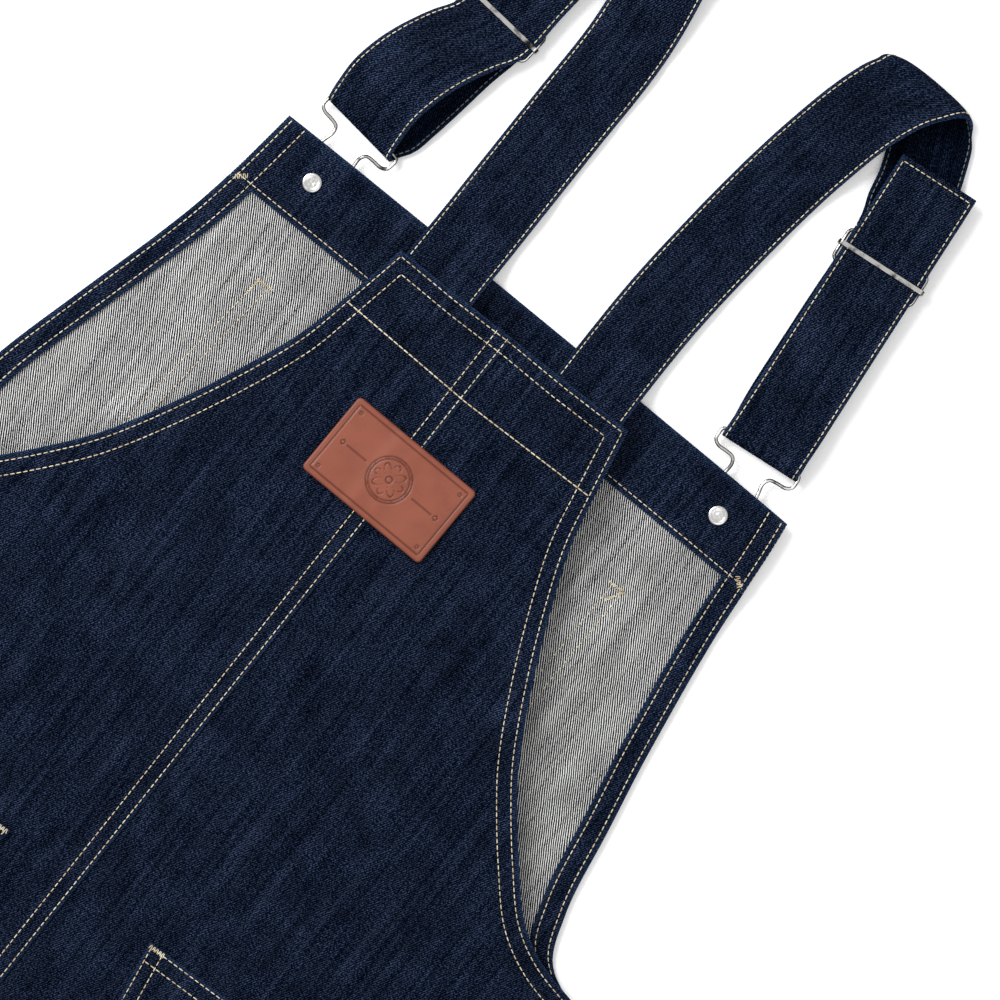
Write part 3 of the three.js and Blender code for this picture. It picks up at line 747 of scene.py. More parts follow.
# out runs from 0 at the inner edge to 1, and down is in millimetres below the mouth.
def pocketPoint(sign, out, down):
    x = pocket["inner"] + mix(pocket["lean"] * down, pocket["width"] - pocket["lean"] * down, out)
    return sign * x, pocket["top"] + pocket["tilt"] * pocket["width"] * out - down


def pocketDepth(out):
    return pocket["drop"] + pocket["point"] * (1 - abs(2 * out - 1))


pocketSteps = [0, 0.004, 0.012, 0.02] + spread(0.04, 0.96, 0.023) + [0.98, 0.988, 0.996, 1]
for sideName, sign in sides.items():
    def pocketPlace(u, v, sign=sign):
        out = u if sign > 0 else 1 - u
        down = (1 - v) * pocketDepth(out)
        x, y = pocketPoint(sign, out, down)
        width = pocket["width"] - 2 * pocket["lean"] * down
        edge = np.minimum(np.minimum(out, 1 - out) * width, pocketDepth(out) - down)
        rim = np.minimum(edge, down)
        z = backTop(x, y) + g["layer"] + 0.15
        z = z + 0.45 * (1 - step(down, 9.5, 11.5)) + 0.35 * (1 - step(edge, 9, 11)) - 0.6 * np.exp(-rim / 0.8)
        z = z + 0.8 * bell(down, 0, 16) * (1 - (2 * out - 1) ** 2)
        z = z + 0.14 * np.sin(2 * math.pi * (x + y) / 9.5) * bell(edge, 5, 4)
        return x, y, z, x, y, wornEdge(rim)

    piece, area = cloth("backPocket" + sideName, pocketSteps, pocketSteps, pocketPlace, faces=rightUp)
    declare(piece, area, (pocket["width"] + 2, pocket["drop"] + pocket["point"] + 5),
            ["back_pocket_" + sideName.lower()])

# Shoulder straps.

strap = {"width": 41, "thick": 2.2, "tuck": 14, "topFold": 6.5, "barFold": 2.6, "onTable": 1.6,
         "reach": 38, "barZ": 4.3, "under": 4.45, "over": 6.85, "row": 1.9, "endWidth": 42.6, "lowest": 1.42,
         "bend": (-14, 16), "bendZ": 6}
firstTurn = math.pi * strap["topFold"]
secondTurn = math.pi * strap["barFold"]
# Heights up from the hook's bar. run, under and the curves pair a height with the strap's place there, as a
# share of the way from the yoke's strap to the hook.
laidStraps = {
    "Right": {
        "crease": 187,
        "run": [(-40, -0.01), (-13, -0.016), (27, -0.01), (67, 0.026), (97, 0.064), (127, 0.117), (157, 0.195),
                (175, 0.27), (187, 0.345)],
        "under": [(187, 0.5), (177, 0.575), (166, 0.64), (150, 0.715), (136, 0.76)],
        "lowerCurve": [], "upperCurve": [], "shift": -2.4, "lean": -0.101, "straight": (22, 122),
        "slider": 107, "travel": (-60, 4), "tail": 159.5, "split": 118, "seed": 31,
        "loopTilt": 0.105, "loopShift": 0.4, "stand": 2.5,
    },
    "Left": {
        "crease": 201,
        "run": [(-44, 0), (60, 0), (111, 0), (141, 0.045), (166, 0.12), (189, 0.226), (201, 0.284)],
        "under": [(201, 0.374), (185, 0.484), (166, 0.587), (150, 0.64)],
        "lowerCurve": [(57, 0.785), (43, 0.812), (31, 0.836), (19, 0.862), (8, 0.893)],
        "upperCurve": [(9, 1.0), (19, 1.0), (31, 0.973), (43, 0.928), (55, 0.863), (64, 0.806)],
        "shift": 14.4, "lean": 0.09, "straight": (76, 134),
        "slider": 83, "travel": (0, 40), "tail": 136, "split": 112, "seed": 41,
        "loopTilt": -0.125, "loopShift": 2.2, "stand": 7.5,
    },
}


# How one strap lies: place(u, along) for u from -1 to 1 across it, and along counted up from the yoke.
class StrapCourse:

    def __init__(self, sideName):
        s = laidStraps[sideName]
        self.s, self.crease = s, s["crease"]
        self.hookX, buttonY = buttonAt[sideName]
        self.barY = buttonY + strap["reach"]
        base = sides[sideName] * g["strapAt"]
        straight = s["straight"]
        middle = (straight[0] + straight[1]) / 2
        route = [(h, mix(base, self.hookX, share)) for h, share in s["run"]]
        route += [(self.underAt(h), mix(base, self.hookX, share)) for h, share in s["under"]]
        route += [(self.underAt(h), self.onLine(h) - 0.5) for h in (straight[1], middle, straight[0])]
        route += [(self.underAt(h), mix(base, self.hookX, share)) for h, share in s["lowerCurve"]]
        loopX = self.hookX + s["shift"] * (not s["lowerCurve"])
        route += [(self.underAt(0), loopX + s["loopShift"] * 1.6), (self.overAt(0), loopX + s["loopShift"] * 0.3)]
        route += [(self.overAt(h), mix(base, self.hookX, share)) for h, share in s["upperCurve"]]
        route += [(self.overAt(h), self.onLine(h) + 0.5) for h in (straight[0], middle, straight[1])]
        route += [(self.overAt(s["tail"]), self.onLine(s["tail"]) + 0.5)]
        self.route = smoothLine(route, 900)

    def onLine(self, h):
        return self.hookX + self.s["shift"] + self.s["lean"] * h

    def underAt(self, h):
        return 2 * self.crease + firstTurn - h

    def overAt(self, h):
        return 2 * self.crease + firstTurn + secondTurn + h

    def xAt(self, along):
        return np.interp(along, self.route[:, 0], self.route[:, 1])

    def runHeight(self, h):
        hinge = strap["barZ"] - strap["thick"] / 2 - 0.15
        yoke = g["yokeZ"] - 0.3 - strap["thick"] / 2
        z = mix(hinge, strap["onTable"], step(h, 0, 60))
        z = np.where(h < 0, mix(hinge, yoke, step(-h, 2, self.barY - g["yokeTop"] - 3)), z)
        folded = strap["onTable"] + 2 * strap["topFold"]
        return np.where(h > 60, mix(strap["onTable"], folded, step(h, 105, self.crease)), z)

    def underHeight(self, h):
        straight = self.s["straight"]
        near = mix(strap["barZ"] - strap["barFold"], strap["under"], step(h, 2, straight[0]))
        return mix(near, strap["onTable"], step(h, straight[1] + 1, straight[1] + 34))

    def fold(self, along):
        pastTop = along - self.crease
        turn = np.clip(pastTop / strap["topFold"], 0, math.pi)
        down = self.underAt(along)
        pastBar = -down
        turnTwo = np.clip(pastBar / strap["barFold"], 0, math.pi)
        h = np.where(pastTop <= 0, along, self.crease + strap["topFold"] * np.sin(turn))
        z = np.where(pastTop <= 0, self.runHeight(along), strap["onTable"] + strap["topFold"] * (1 + np.cos(turn)))
        under = pastTop > firstTurn
        h = np.where(under, down, h)
        z = np.where(under, self.underHeight(down), z)
        around = under & (pastBar > 0)
        h = np.where(around, -strap["barFold"] * np.sin(turnTwo), h)
        z = np.where(around, strap["barZ"] - strap["barFold"] * np.cos(turnTwo), z)
        over = pastBar > secondTurn
        h = np.where(over, pastBar - secondTurn, h)
        nearest = self.s["slider"] + self.s["travel"][0]
        stand = self.s["stand"] * step(h, 1, 24) * (1 - step(h, nearest - 40, nearest - 12))
        return h, np.where(over, strap["over"] + stand, z)

    def place(self, u, along):
        s = self.s
        slope = (self.xAt(along + 1) - self.xAt(along - 1)) / 2
        turned = step(along, self.underAt(s["straight"][1] + 24), self.underAt(s["straight"][1] - 8))
        atLoop = step(abs(along - self.underAt(-secondTurn / 2)), s["straight"][0] + 6, 14)
        width = mix(strap["width"], strap["endWidth"], turned)
        w = u * width / 2 * np.hypot(1, slope) ** (1 - turned)
        h, z = self.fold(along)
        h = h + w * mix(-s["lean"], s["loopTilt"], atLoop) * turned
        atCrest = bell(along, self.crease + firstTurn / 2, 15)
        h = h - 3.6 * abs(u) ** 4 * atCrest
        return np.column_stack([self.xAt(along) + w, self.barY + h, z])

    def lifted(self, u, along, height):
        point = self.place(u, along)
        acrossWay = self.place(u + 0.01, along) - self.place(u - 0.01, along)
        alongWay = self.place(u, along + 0.4) - self.place(u, along - 0.4)
        normal = np.cross(acrossWay, alongWay)
        normal /= np.linalg.norm(normal, axis=1)[:, None]
        return point + normal * np.asarray(height)[:, None], normal

    # The waves are shallow where the slider passes.
    def calm(self, along):
        h, _ = self.fold(along)
        past = np.maximum(self.s["slider"] + self.s["travel"][0] - h, h - self.s["slider"] - self.s["travel"][1])
        nearSlider = mix(0.34, 1, step(past, 12, 26))
        runs = along < self.crease + firstTurn
        return np.where(runs, 1, nearSlider) * step(h, -2, 16)


strapAcross = [-1, -0.985, -0.95, -0.87, -0.7, -0.4, 0, 0.4, 0.7, 0.87, 0.95, 0.985, 1]
courses = {sideName: StrapCourse(sideName) for sideName in sides}


def strapPlace(course):
    def place(u, along):
        seed = course.s["seed"]
        wave = 0.68 * ripples(u * 20, along, 38, seed) + 0.3 * ripples(u * 20, along, 16, seed + 1)
        wave = (wave + 0.2) * course.calm(along)
        wave = wave + 0.1 * np.sin(2 * math.pi * along / 7.7) * bell(abs(u), 0.87, 0.1) * course.calm(along)
        point, _ = course.lifted(np.clip(u, -1, 1), along, wave)
        point[:, 2] = np.maximum(point[:, 2], strap["lowest"])
        worn = wornEdge((1 - abs(u)) * strap["width"] / 2, 1.2)
        return point[:, 0], point[:, 1], point[:, 2], u * strap["width"] / 2, along, worn
    return place


for sideName, course in courses.items():
    body = "strap_" + sideName.lower()
    crease, split = course.crease, course.underAt(course.s["split"])
    tuckEnd = g["yokeTop"] - strap["tuck"] - course.barY
    rows = steps(tuckEnd, crease - 4, 2.6) + steps(crease - 4, crease + firstTurn + 4, 1.2)
    rows += spread(crease + firstTurn + 4, split, 2.6)
    # The under face carries painted shade where the strap folds over on itself.
    piece, area = cloth("strap" + sideName, strapAcross, rows, strapPlace(course), thick=strap["thick"],
                        faces=(denimRight, denimUnderShaded), rounding=1, middle=True)
    bend = [(course.hookX * mm, (course.barY + past) * mm, strap["bendZ"] * mm) for past in strap["bend"]]
    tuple(bend[0])
    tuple(bend[1])
    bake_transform(piece)
    lower = sideName.lower()
    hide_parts("strap_base_" + lower, "strap_run_" + lower)
    declareSheet(area, (strap["width"], split - tuckEnd))
    rows = steps(split + 0.1, course.underAt(6), 2.6) + steps(course.underAt(6), course.overAt(5), 0.9)
    last = course.overAt(course.s["tail"])
    rows += steps(course.overAt(5), last - 1.6, 2.6) + [last - 1.6, last - 0.5, last]
    piece, area = cloth("strapEnd" + sideName, strapAcross, rows, strapPlace(course), thick=strap["thick"],
                        faces=(denimRight, denimUnderShaded), rounding=1, middle=True)
    declare(piece, area, (strap["endWidth"], last - split), ["strap_end_" + lower], body)
    course.bend, course.split, course.last, course.tuckEnd = bend, split, last, tuckEnd
print("straps made")

# Hardware.

hook = {"wire": 0.92, "reach": 38, "half": 22.6, "shoulder": 29, "eye": 5.2, "pivot": 12}


# A closed ring of round wire that follows the points, in millimetres.
def wirePiece(name, points, radius):
    line = np.array(points, float)
    curve = bpy.data.curves.new(name, "CURVE")
    curve.dimensions = "3D"
    spline = curve.splines.new("POLY")
    spline.points.add(len(line) - 1)
    spline.points.foreach_set("co", np.column_stack([line * mm, np.ones(len(line))]).ravel())
    spline.use_cyclic_u = True
    spline.use_smooth = True
    curve.bevel_depth = radius * mm
    curve.bevel_resolution = 4
    makeActive(newObject(name, curve))
    bpy.ops.object.convert(target="MESH")
    piece = bpy.context.object
    piece.data.materials.clear()
    piece.data.materials.append(nickel)
    bpy.ops.object.shade_smooth()
    return piece


def hookLine(sideName):
    e, half, shoulder, reach = hook["eye"], hook["half"], hook["shoulder"], hook["reach"]
    right = [(0, -e), (e * 0.82, -e * 0.6), (e, 1), (e + 0.8, 5), (8.6, 10), (10.2, 14.5), (9.7, 20),
             (9.1, shoulder - 4), (10.7, shoulder - 0.8), (14.5, shoulder), (half - 3, shoulder + 0.3),
             (half - 0.3, shoulder + 2.3), (half, reach - 3.4), (half - 0.1, reach - 1.5), (half - 0.6, reach - 0.4),
             (half - 1.5, reach), (half - 3, reach), (0, reach)]
    whole = right + [(-x, y) for x, y in right[-2:0:-1]]
    closed = smoothLine(whole[-3:] + whole + whole[:4], 900)
    along = lengthsAlong(closed)
    first = np.argmin(np.hypot(*(closed[:450] - whole[0]).T))
    final = 450 + np.argmin(np.hypot(*(closed[450:] - whole[0]).T))
    ring = resample(closed[first:final], 0.9)
    buttonX, buttonY = buttonAt[sideName]
    x, y = turnedBy(ring[:, 0], ring[:, 1] - hook["pivot"], laidStraps[sideName]["loopTilt"] * 0.95)
    return np.column_stack([x + buttonX, y + hook["pivot"] + buttonY, np.full(len(ring), strap["barZ"])])


for sideName in sides:
    lower = sideName.lower()
    attach(wirePiece("hook" + sideName, hookLine(sideName), hook["wire"]), "hook_" + lower, "nickel", "hook_" + lower)

slider = {"rail": 0.95, "half": 22.7, "length": 17.4, "bend": 2.8, "railZ": 2.0, "curl": 1.6, "barZ": 9.35,
          "barWidth": 2.3, "barThick": 0.85, "corner": 1.9, "edge": 0.18}


def roundedRing(halfWide, halfLong, bend, z):
    ring = []
    for quarter, (sx, sy) in enumerate(((1, 1), (-1, 1), (-1, -1), (1, -1))):
        for t in np.linspace(0, math.pi / 2, 9):
            angle = quarter * math.pi / 2 + t
            ring.append((sx * (halfWide - bend) + bend * math.cos(angle),
                         sy * (halfLong - bend) + bend * math.sin(angle), z))
    return np.array(ring)


def onSlider(course, points):
    p = np.array(points, float)
    x, y = turnedBy(p[:, 0], p[:, 1], math.atan(-course.s["lean"]))
    at = course.s["slider"]
    return np.column_stack([x + course.onLine(at), y + course.barY + at, p[:, 2]])


# The flat bar's middle line across the strap, with its ends curled round the rails.
def barProfile():
    half, curl, railZ, barZ, corner = (slider[key] for key in ("half", "curl", "railZ", "barZ", "corner"))
    outer = half + curl
    right = [(half + curl * math.cos(math.pi * t), railZ - curl * math.sin(math.pi * t))
             for t in np.linspace(1.1, -0.1, 13)]
    right += [(outer, railZ + 1.6), (outer, barZ - 2)]
    right += [(outer - corner * (1 - math.cos(a)), barZ - corner + corner * math.sin(a))
              for a in np.linspace(0.1, math.pi / 2, 7)]
    return resample(np.array(right + [(-x, z) for x, z in right[::-1]]), 0.55)


for sideName, course in courses.items():
    lower = sideName.lower()
    ring = resample(roundedRing(slider["half"], slider["length"] / 2, slider["bend"], slider["railZ"]), 1.2)
    piece = wirePiece("sliderFrame" + sideName, onSlider(course, ring), slider["rail"])
    attach(piece, "slider_" + lower, "nickel", "slider_frame_" + lower)
    profile = barProfile()

    def barPlace(u, k, course=course, profile=profile):
        x, z = profile[k.astype(int)].T
        p = onSlider(course, np.column_stack([x, u * slider["barWidth"] / 2, z]))
        return p[:, 0], p[:, 1], p[:, 2], u, k, np.zeros_like(u)

    piece, _ = cloth("sliderBar" + sideName, [-1, -0.9, -0.5, 0, 0.5, 0.9, 1], list(range(len(profile))), barPlace,
                     thick=slider["barThick"], faces=(nickel, nickel), middle=True)
    soft = piece.modifiers.new("edge", "BEVEL")
    soft.width, soft.segments = slider["edge"] * mm, 2
    applyModifiers(piece)
    bpy.ops.object.shade_smooth_by_angle(angle=math.radians(40))
    attach(piece, "slider_" + lower, "nickel", "slider_bar_" + lower)


# A round piece turned about an upright axis through centre. The profile runs up in (radius, z).
def turned(name, profile, centre, material):
    mesh = bpy.data.meshes.new(name)
    points = [((centre[0] + r) * mm, centre[1] * mm, z * mm) for r, z in profile]
    mesh.from_pydata(points, [(k, k + 1) for k in range(len(points) - 1)], [])
    piece = newObject(name, mesh)
    makeActive(piece)
    bpy.ops.object.mode_set(mode="EDIT")
    bpy.ops.mesh.select_all(action="SELECT")
    bpy.ops.mesh.spin(steps=40, angle=2 * math.pi, center=(centre[0] * mm, centre[1] * mm, 0), axis=(0, 0, 1))
    bpy.ops.mesh.select_all(action="SELECT")
    bpy.ops.mesh.remove_doubles(threshold=0.00001)
    bpy.ops.mesh.normals_make_consistent(inside=False)
    bpy.ops.object.mode_set(mode="OBJECT")
    mesh.materials.append(material)
    bpy.ops.object.shade_smooth_by_angle(angle=math.radians(35))
    return piece


button = {
    "cap": [(0, 0), (5.2, 0.05), (7.1, 0.45), (8.2, 1.2), (8.5, 1.9), (8.45, 2.4), (8.1, 2.85), (7.4, 3), (3.4, 3),
            (3, 3.25), (3, 5.3), (1.5, 5.3), (1.5, 2.4), (0, 2.4)],
    "tack": [(0, 2.6), (1.0, 2.7), (1.1, 3.2), (1.1, 0), (2.6, 0), (4.3, 0.05), (4.75, 0.35), (4.7, 0.7), (4.3, 0.95),
             (3.7, 1.05), (3.3, 0.98), (3.0, 0.82), (2.2, 0.78), (1.4, 0.84), (0.9, 0.7), (0, 0.66)],
}
for sideName in sides:
    lower = sideName.lower()
    bx, by = buttonAt[sideName]
    head = float(frontTop(np.array([bx]), np.array([by]))[0]) + g["onPanel"] + 0.45
    tack = [(r, z if k < 3 else head + z) for k, (r, z) in enumerate(button["tack"])]
    for name, profile, node in (("buttonCap", button["cap"], "button_cap_"), ("buttonTack", tack, "button_tack_")):
        piece = turned(name + sideName, profile, (bx, by), buttonMetal)
        attach(piece, "button_" + lower, "nickel", node + lower)
print("hardware made")

# Leather patch.

patch = {"width": 74.5, "height": 45, "thick": 1.7, "centre": (-5.5, 148.5), "turn": -1.2, "corner": 2.4,
         "border": 3.1, "depth": 0.42}


# The pressed border, corner studs and a plain eight-petal rosette between two rules.
def pressedPattern(x, y):
    halfWide, halfHigh = patch["width"] / 2, patch["height"] / 2
    inX, inY = halfWide - abs(x), halfHigh - abs(y)
    frameLine = np.minimum(abs(inX - patch["border"]) + 9 * (inY < patch["border"]),
                           abs(inY - patch["border"]) + 9 * (inX < patch["border"]))
    stud = abs(np.hypot(inX - 6, inY - 6) - 0.75)
    radius, angle = np.hypot(x, y), np.arctan2(y, x)
    rings = np.minimum(abs(radius - 11.5), abs(radius - 10.2))
    petal = abs(radius - 8.4 * (0.45 + 0.55 * abs(np.cos(4 * angle)) ** 0.8))
    core = abs(radius - 1.6)
    rule = abs(y) + 9 * ((abs(x) < 14.5) | (abs(x) > 27))
    lozenge = abs(abs(abs(x) - 29.2) + abs(y) - 1.3)
    lines = np.minimum.reduce([frameLine, stud, rings, petal, core, rule, lozenge])
    return 1 - step(lines, 0.18, 0.5)


def patchPlace(u, v):
    halfWide, halfHigh, corner = patch["width"] / 2, patch["height"] / 2, patch["corner"]
    x, y = u * halfWide, v * halfHigh
    overX, overY = np.clip(abs(x) - halfWide + corner, 0, None), np.clip(abs(y) - halfHigh + corner, 0, None)
    pull = np.maximum(overX, overY) / np.maximum(np.hypot(overX, overY), 1e-6)
    inCorner = (overX > 0) & (overY > 0)
    edge = np.where(inCorner, corner - np.maximum(overX, overY), np.minimum(halfWide - abs(x), halfHigh - abs(y)))
    x = np.where(inCorner, np.sign(x) * (halfWide - corner + overX * pull), x)
    y = np.where(inCorner, np.sign(y) * (halfHigh - corner + overY * pull), y)
    tx, ty = turnedBy(x, y, math.radians(patch["turn"]))
    px, py = patch["centre"][0] + tx, patch["centre"][1] + ty
    rounding = 0.7 * np.clip(1 - edge / 0.9, 0, 1) ** 2
    flatBack = g["ceiling"] + g["cloth"] + 0.9 + 0.5 * ripples(px, py, 60, 51)
    lapUnder = 1.1 * step(px, lap["start"] - 6, lap["start"] + 2) * step(-px, -lap["edge"] - 6, -lap["edge"] + 2)
    z = flatBack + 0.5 * lapUnder + patch["thick"] + 0.6 - rounding - patch["depth"] * pressedPattern(x, y)
    return px, py, z, x, y, np.exp(-edge / 0.9)


def patchSteps(half):
    edge = np.array([0, 0.25, 0.55, 0.9]) / half
    return list(-1 + edge) + spread(-1 + 1.3 / half, 1 - 1.3 / half, 0.42 / half) + list((1 - edge)[::-1])


piece, _ = cloth("leatherPatch", patchSteps(patch["width"] / 2), patchSteps(patch["height"] / 2), patchPlace,
                 thick=patch["thick"], faces=(leather, leather))
points = verticesOf(piece.data)[:, :2] / mm - np.array(patch["centre"])
setAttribute(piece.data, "pressed", pressedPattern(*turnedBy(*points.T, -math.radians(patch["turn"]))))
attach(piece, "garment", "patch_leather", "leather_patch")
print("patch made")

# Stitching.

stitch = {"pitch": 3.2, "length": 2.45, "thick": 0.56, "yokeThick": 0.74, "tack": 0.8, "tackThick": 0.5}


# One stitch, a unit long, lying along x.
def makeStitch():
    deselectAll()
    bpy.ops.mesh.primitive_uv_sphere_add(segments=8, ring_count=5, radius=0.5, rotation=(0, math.pi / 2, 0))
    one = bpy.context.object
    bpy.ops.object.transform_apply(rotation=True)
    co = np.array([v.co for v in one.data.vertices])
    co[:, 0] = np.sign(co[:, 0]) * 0.5 * abs(co[:, 0] * 2) ** 0.6
    faces = [list(face.vertices) for face in one.data.polygons]
    bpy.data.objects.remove(one)
    return co, faces


stitchShape, stitchFaces = makeStitch()


# Collects stitches and makes them one piece. tone is 0 for the top thread and 1 for the bobbin's.
class Seam:

    def __init__(self):
        self.places, self.runs, self.normals, self.sizes, self.tones = [], [], [], [], []

    # Stitches along a line of 3-D points in millimetres, which lies a little above the cloth.
    def row(self, points, normals=None, length=None, thick=None, tone=0):
        length = length or stitch["length"]
        line = np.array(points, float)
        normals = np.tile([0.0, 0.0, 1.0], (len(line), 1)) if normals is None else np.asarray(normals)
        along = lengthsAlong(line)
        count = int(along[-1] / stitch["pitch"])
        centres = (np.arange(count) + 0.5) * along[-1] / max(count, 1)
        ends = [np.column_stack([np.interp(centres + shift, along, line[:, k]) for k in range(3)])
                for shift in (-length / 2, length / 2)]
        for a, b, c in zip(ends[0], ends[1], centres):
            k = min(int(np.searchsorted(along, c)), len(normals) - 1)
            self.add(a, b, normals[k], thick, tone)

    def add(self, a, b, normal, thick=None, tone=0):
        self.places.append((np.array(a) + np.array(b)) / 2)
        self.runs.append(np.array(b) - np.array(a))
        self.normals.append(normal)
        self.sizes.append(thick or stitch["thick"])
        self.tones.append(tone)

    # A bartack: close zigzag stitches across a short bar.
    def tackBar(self, centre, way, width, deep, height):
        way = np.array(way, float) / np.hypot(*way)
        side = np.array([-way[1], way[0]])
        count = int(width / stitch["tack"])
        for k in range(count):
            at = np.array(centre) + way * (k / (count - 1) - 0.5) * width
            slant = way * 0.25 * (-1) ** k
            ends = [at - side * deep / 2 - slant, at + side * deep / 2 + slant]
            z = [float(height(np.array([p[0]]), np.array([p[1]]))[0]) + 0.22 for p in ends]
            self.add((*ends[0], z[0]), (*ends[1], z[1]), (0, 0, 1), stitch["tackThick"])

    def make(self, name):
        places, runs = np.array(self.places), np.array(self.runs)
        normals = np.array(self.normals, float)
        long = np.linalg.norm(runs, axis=1)
        ahead = runs / long[:, None]
        sideways = np.cross(normals, ahead)
        sideways /= np.linalg.norm(sideways, axis=1)[:, None]
        upward = np.cross(ahead, sideways)
        thick = np.array(self.sizes)
        shape = stitchShape
        points = (places[:, None] + ahead[:, None] * (shape[None, :, 0:1] * long[:, None, None])
                  + sideways[:, None] * (shape[None, :, 1:2] * thick[:, None, None])
                  + upward[:, None] * (shape[None, :, 2:3] * thick[:, None, None] * 0.8))
        faces = [[v + k * len(shape) for v in face] for k in range(len(places)) for face in stitchFaces]
        mesh = bpy.data.meshes.new(name)
        mesh.from_pydata((points.reshape(-1, 3) * mm).tolist(), [], faces)
        mesh.materials.append(thread)
        if any(self.tones):
            mesh.materials.append(bobbin)
            mesh.polygons.foreach_set("material_index", np.repeat(self.tones, len(stitchFaces)))
        piece = newObject(name, mesh)
        makeActive(piece)
        bpy.ops.object.shade_smooth()
        return piece


# Heights of the uppermost of the named pieces, in millimetres, for the stitches that lie on them.
def surfaceOf(*names):
    trees = []
    for name in names:
        mesh = bpy.data.objects[name].data
        trees.append(BVHTree.FromPolygons([v.co[:] for v in mesh.vertices], [f.vertices[:] for f in mesh.polygons]))

    def height(x, y):
        found = np.full(len(x), np.nan)
        for k in range(len(x)):
            start = Vector((x[k] * mm, y[k] * mm, 0.1))
            hits = [tree.ray_cast(start, Vector((0, 0, -1)))[0] for tree in trees]
            levels = [hit.z / mm for hit in hits if hit is not None]
            if levels:
                found[k] = max(levels)
        good = ~np.isnan(found)
        return np.interp(np.arange(len(x)), np.nonzero(good)[0], found[good]) if good.any() else np.zeros(len(x))

    return height


def onCloth(line, height, rise=0.16):
    line = resample(np.array(line, float), 1.5)
    return np.column_stack([line, height(line[:, 0], line[:, 1]) + rise])


# The back: two rows round the armholes and the yoke's top, the centre seam, the yoke seam and the hem.
backRows = [(3.2, 2.4), (10.2, 9.2)]  # in from the armhole and down from the yoke's top
backSeam = Seam()
backFace = surfaceOf("backPanelLeft", "backPanelRight")
for fromEdge, corner in backRows:
    for sign in sides.values():
        inner = insideOf(armhole, fromEdge)
        inner = inner[inner[:, 1] < g["yokeTop"] - corner]
        inner[:, 0] += step(inner[:, 1], 150, 215) * (fromEdge - corner)
        line = np.vstack([[inner[0, 0], g["yokeTop"] - corner], inner])
        line[:, 0] *= sign
        backSeam.row(onCloth(line, backFace))
        across = [(0, g["yokeTop"] - corner), (sign * inner[0, 0] * 0.5, g["yokeTop"] - corner - 0.6),
                  (sign * inner[0, 0], g["yokeTop"] - corner)]
        backSeam.row(onCloth(across, backFace))
yokeEdge = float(backHalf(g["yokeSeam"])) - 3
yokeRow = [(-yokeEdge, g["yokeSeam"] + 1), (0, g["yokeSeam"] - 1.5), (yokeEdge, g["yokeSeam"])]
backSeam.row(onCloth(yokeRow, backFace, 0.22), thick=stitch["yokeThick"], length=2.95)
for x in lap["rows"]:
    backSeam.row(onCloth([(x, g["yokeTop"] - 1), (x, -g["skirtLength"] + 2)], backFace))
hemLine = -g["skirtLength"] + g["hemDepth"] - 3
backSeam.row(onCloth([(-float(skirtHalf(hemLine)) + 2, hemLine), (float(skirtHalf(hemLine)) - 2, hemLine)], backFace))
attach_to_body(backSeam.make("backStitching"), "garment")

pocketSeam = Seam()
for sideName, sign in sides.items():
    pocketTop = surfaceOf("backPocket" + sideName)

    # A row down both sides and round the point, inset from the pocket's edge.
    def pocketRow(inset, sign=sign):
        downs = np.linspace(1.5, pocket["drop"] - inset, 40)
        reach = inset / (pocket["width"] - 2 * pocket["lean"] * downs)
        leftSide = [pocketPoint(sign, r, d) for r, d in zip(reach, downs)]
        base = [pocketPoint(sign, out, pocketDepth(out) - inset)
                for out in np.linspace(reach[-1], 1 - reach[-1], 21)]
        rightSide = [pocketPoint(sign, 1 - r, d) for r, d in zip(reach, downs)]
        return leftSide + base + rightSide[::-1]

    for inset in (2, 8.5):
        pocketSeam.row(onCloth(pocketRow(inset), pocketTop, 0.2))
    for down in (1.8, 9):
        mouth = [pocketPoint(sign, out, down) for out in np.linspace(0.015, 0.985, 9)]
        pocketSeam.row(onCloth(mouth, pocketTop, 0.2))
    for out in (0.035, 0.965):
        pocketSeam.tackBar(pocketPoint(sign, out, 1.6), (1, 0.05), 8, 2.4, pocketTop)
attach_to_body(pocketSeam.make("pocketStitching"), "garment")

facingTop = surfaceOf("frontPanel", "bibFacing", "bibBindingLeft", "bibBindingRight", "frontHem")
insideTop = surfaceOf("frontPanel")

# The bib: two rows down its sides, one above the facing's edge, and the chest pocket's rows from inside.
bibSeam = Seam()
for sign in sides.values():
    for inset in (3, 11):
        ys = np.linspace(g["bibTop"] - 1, 8, 90)
        line = np.column_stack(laid(sign * (frontHalf(ys) - inset), ys))
        bibSeam.row(onCloth(line, facingTop))
    px, py = laid(np.array([sign * (float(frontHalf(facingLow + 2.8)) - 5)]), np.array([facingLow + 2.8]))
    bibSeam.tackBar((px[0], py[0]), (sign, -0.9), 6, 2.6, facingTop)
ends = float(frontHalf(facingLow + 2.8)) - 2
xs = np.linspace(-ends, ends, 60)
bibSeam.row(onCloth(np.column_stack(laid(xs, np.full_like(xs, facingLow + 2.8))), facingTop, 0.25))
bibSeam.row(onCloth([(-float(skirtHalf(hemLine)) + 4, hemLine), (float(skirtHalf(hemLine)) - 4, hemLine)], facingTop))
chestRows = {"x": (111.5, 117.8), "flare": 5, "top": 180, "skew": 3, "bottom": 46}
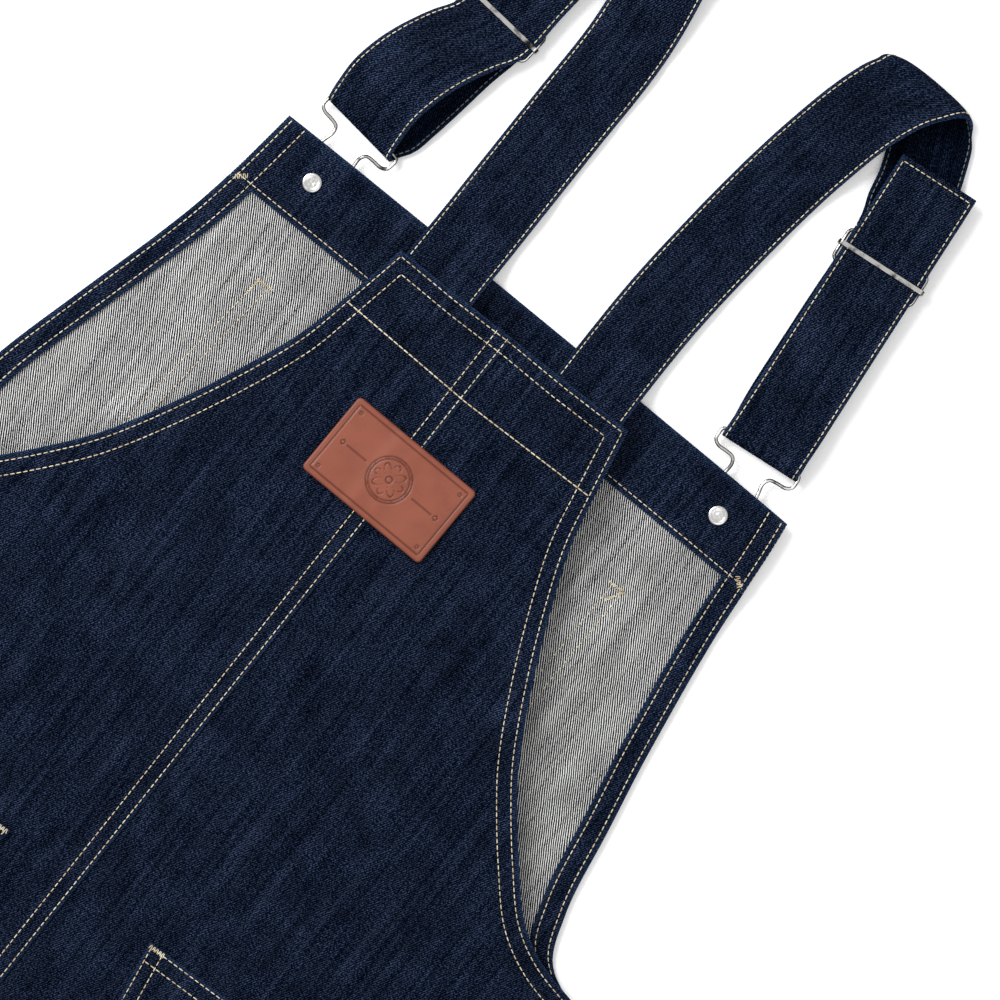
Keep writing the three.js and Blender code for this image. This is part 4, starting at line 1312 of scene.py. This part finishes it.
for sign in sides.values():
    chestEnds = (chestRows["top"] - chestRows["skew"] * sign, chestRows["bottom"])
    for x in chestRows["x"]:
        line = np.column_stack(laid(np.linspace(x, x + chestRows["flare"], 30) * sign, np.linspace(*chestEnds, 30)))
        bibSeam.row(onCloth(line, insideTop, 0.14), thick=0.42, length=2.1)
    px, py = laid(np.array([sign * 114.0]), np.array([chestEnds[0] + 1.0]))
    bibSeam.tackBar((px[0], py[0]), (1, 0.05), 9, 1.6, insideTop)
    leg = (px[0] - 4.2, py[0] - 4, 0.05) if sign < 0 else (px[0] + 1.6, py[0] - 4.6, 0.55)
    bibSeam.tackBar(leg[:2], (leg[2], 1), 8.5, 1.5, insideTop)
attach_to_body(bibSeam.make("bibStitching"), "garment")

# The straps: a row near each edge on both faces, and one across the tail.
rowAt = 1 - 2 * strap["row"] / strap["width"]
for sideName, course in courses.items():
    body = "strap_" + sideName.lower()
    face = strap["thick"] / 2 + 0.14
    for name, first, final in (("strapStitching", course.tuckEnd + 15, course.split - 1),
                               ("strapEndStitching", course.split + 1, course.last - 3)):
        seam = Seam()
        for u in (-rowAt, rowAt):
            along = np.arange(first, final, 0.8)
            wave = strapPlace(course)(np.full_like(along, u), along)
            middle = np.column_stack(wave[:3])
            _, normal = course.lifted(np.full_like(along, u), along, np.zeros_like(along))
            for way in (1, -1):
                seam.row(middle + normal * way * face, normal * way, tone=int(way < 0))
        if name == "strapEndStitching":
            us = np.linspace(-rowAt, rowAt, 20)
            wave = strapPlace(course)(us, np.full_like(us, course.last - 3.0))
            seam.row(np.column_stack(wave[:3]) + np.array([0, 0, face + 0.1]))
        piece = seam.make(name + sideName)
        if name == "strapStitching":
            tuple(course.bend[0])
            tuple(course.bend[1])
            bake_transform(piece)
        else:
            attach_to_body(piece, body)
print("stitching made")

# Floor, lights and camera.

look = {"x": 42.9, "y": 174.6, "field": 490.2, "turn": 38.5, "lens": 200, "focusZ": 6}
studio = {
    "floorSize": 8, "floorZ": -0.0004, "floorGlow": 0.1,
    "lights": {"keyLight": ((-1.35, 0.25, 1.2), 1.2, 41), "fillLight": ((1.0, -0.4, 1.9), 1.6, 9)},
    "sky": (0.12, 0.62, 0.06, 0.78),  # dim below the first height of view and bright above the second
}
white = (1, 1, 1, 1)

deselectAll()
bpy.ops.mesh.primitive_plane_add(size=studio["floorSize"], location=(0, 0, studio["floorZ"]))
floor = bpy.context.object
floor.name = "floor"
paper, _, shader = newMaterial("palePaper", 0.9, specular=0.1)
shader.inputs["Base Color"].default_value = (0.93, 0.93, 0.93, 1)
shader.inputs["Emission Color"].default_value = white
shader.inputs["Emission Strength"].default_value = studio["floorGlow"]
floor.data.materials.append(paper)

centre = Vector((look["x"] * mm, look["y"] * mm, 0))
for name, (away, size, power) in studio["lights"].items():
    data = bpy.data.lights.new(name, "AREA")
    data.shape, data.size, data.energy = "DISK", size, power
    lamp = newObject(name, data)
    lamp.location = centre + Vector(away)
    lamp.rotation_euler = (-Vector(away)).to_track_quat("-Z", "Y").to_euler()

world = bpy.data.worlds.new("studio")
world.use_nodes = True
desk = Desk(world.node_tree)
skyWay = desk.part(desk.add("ShaderNodeTexCoord").outputs["Generated"], 2)
background, plain = desk.nodes["Background"], desk.add("ShaderNodeBackground")
desk.feed(background.inputs["Color"], white)
desk.feed(background.inputs["Strength"], desk.ramp(skyWay, *studio["sky"]))
desk.feed(plain.inputs["Color"], white)
seen = desk.add("ShaderNodeMixShader")
for place, value in enumerate((desk.add("ShaderNodeLightPath").outputs["Is Camera Ray"], background.outputs[0],
                               plain.outputs[0])):
    desk.feed(seen.inputs[place], value)
desk.feed(desk.nodes["World Output"].inputs["Surface"], seen.outputs[0])
bpy.context.scene.world = world
bpy.context.scene.view_settings.view_transform = "Standard"

camera = bpy.data.cameras.new("camera")
camera.lens = look["lens"]
camera.dof.use_dof = False
cameraObject = newObject("camera", camera)
distance = (look["field"] * look["lens"] / camera.sensor_width + look["focusZ"]) * mm
cameraObject.location = centre + Vector((0, 0, distance))
cameraObject.rotation_euler = (0, 0, math.radians(look["turn"]))
bpy.context.scene.camera = cameraObject
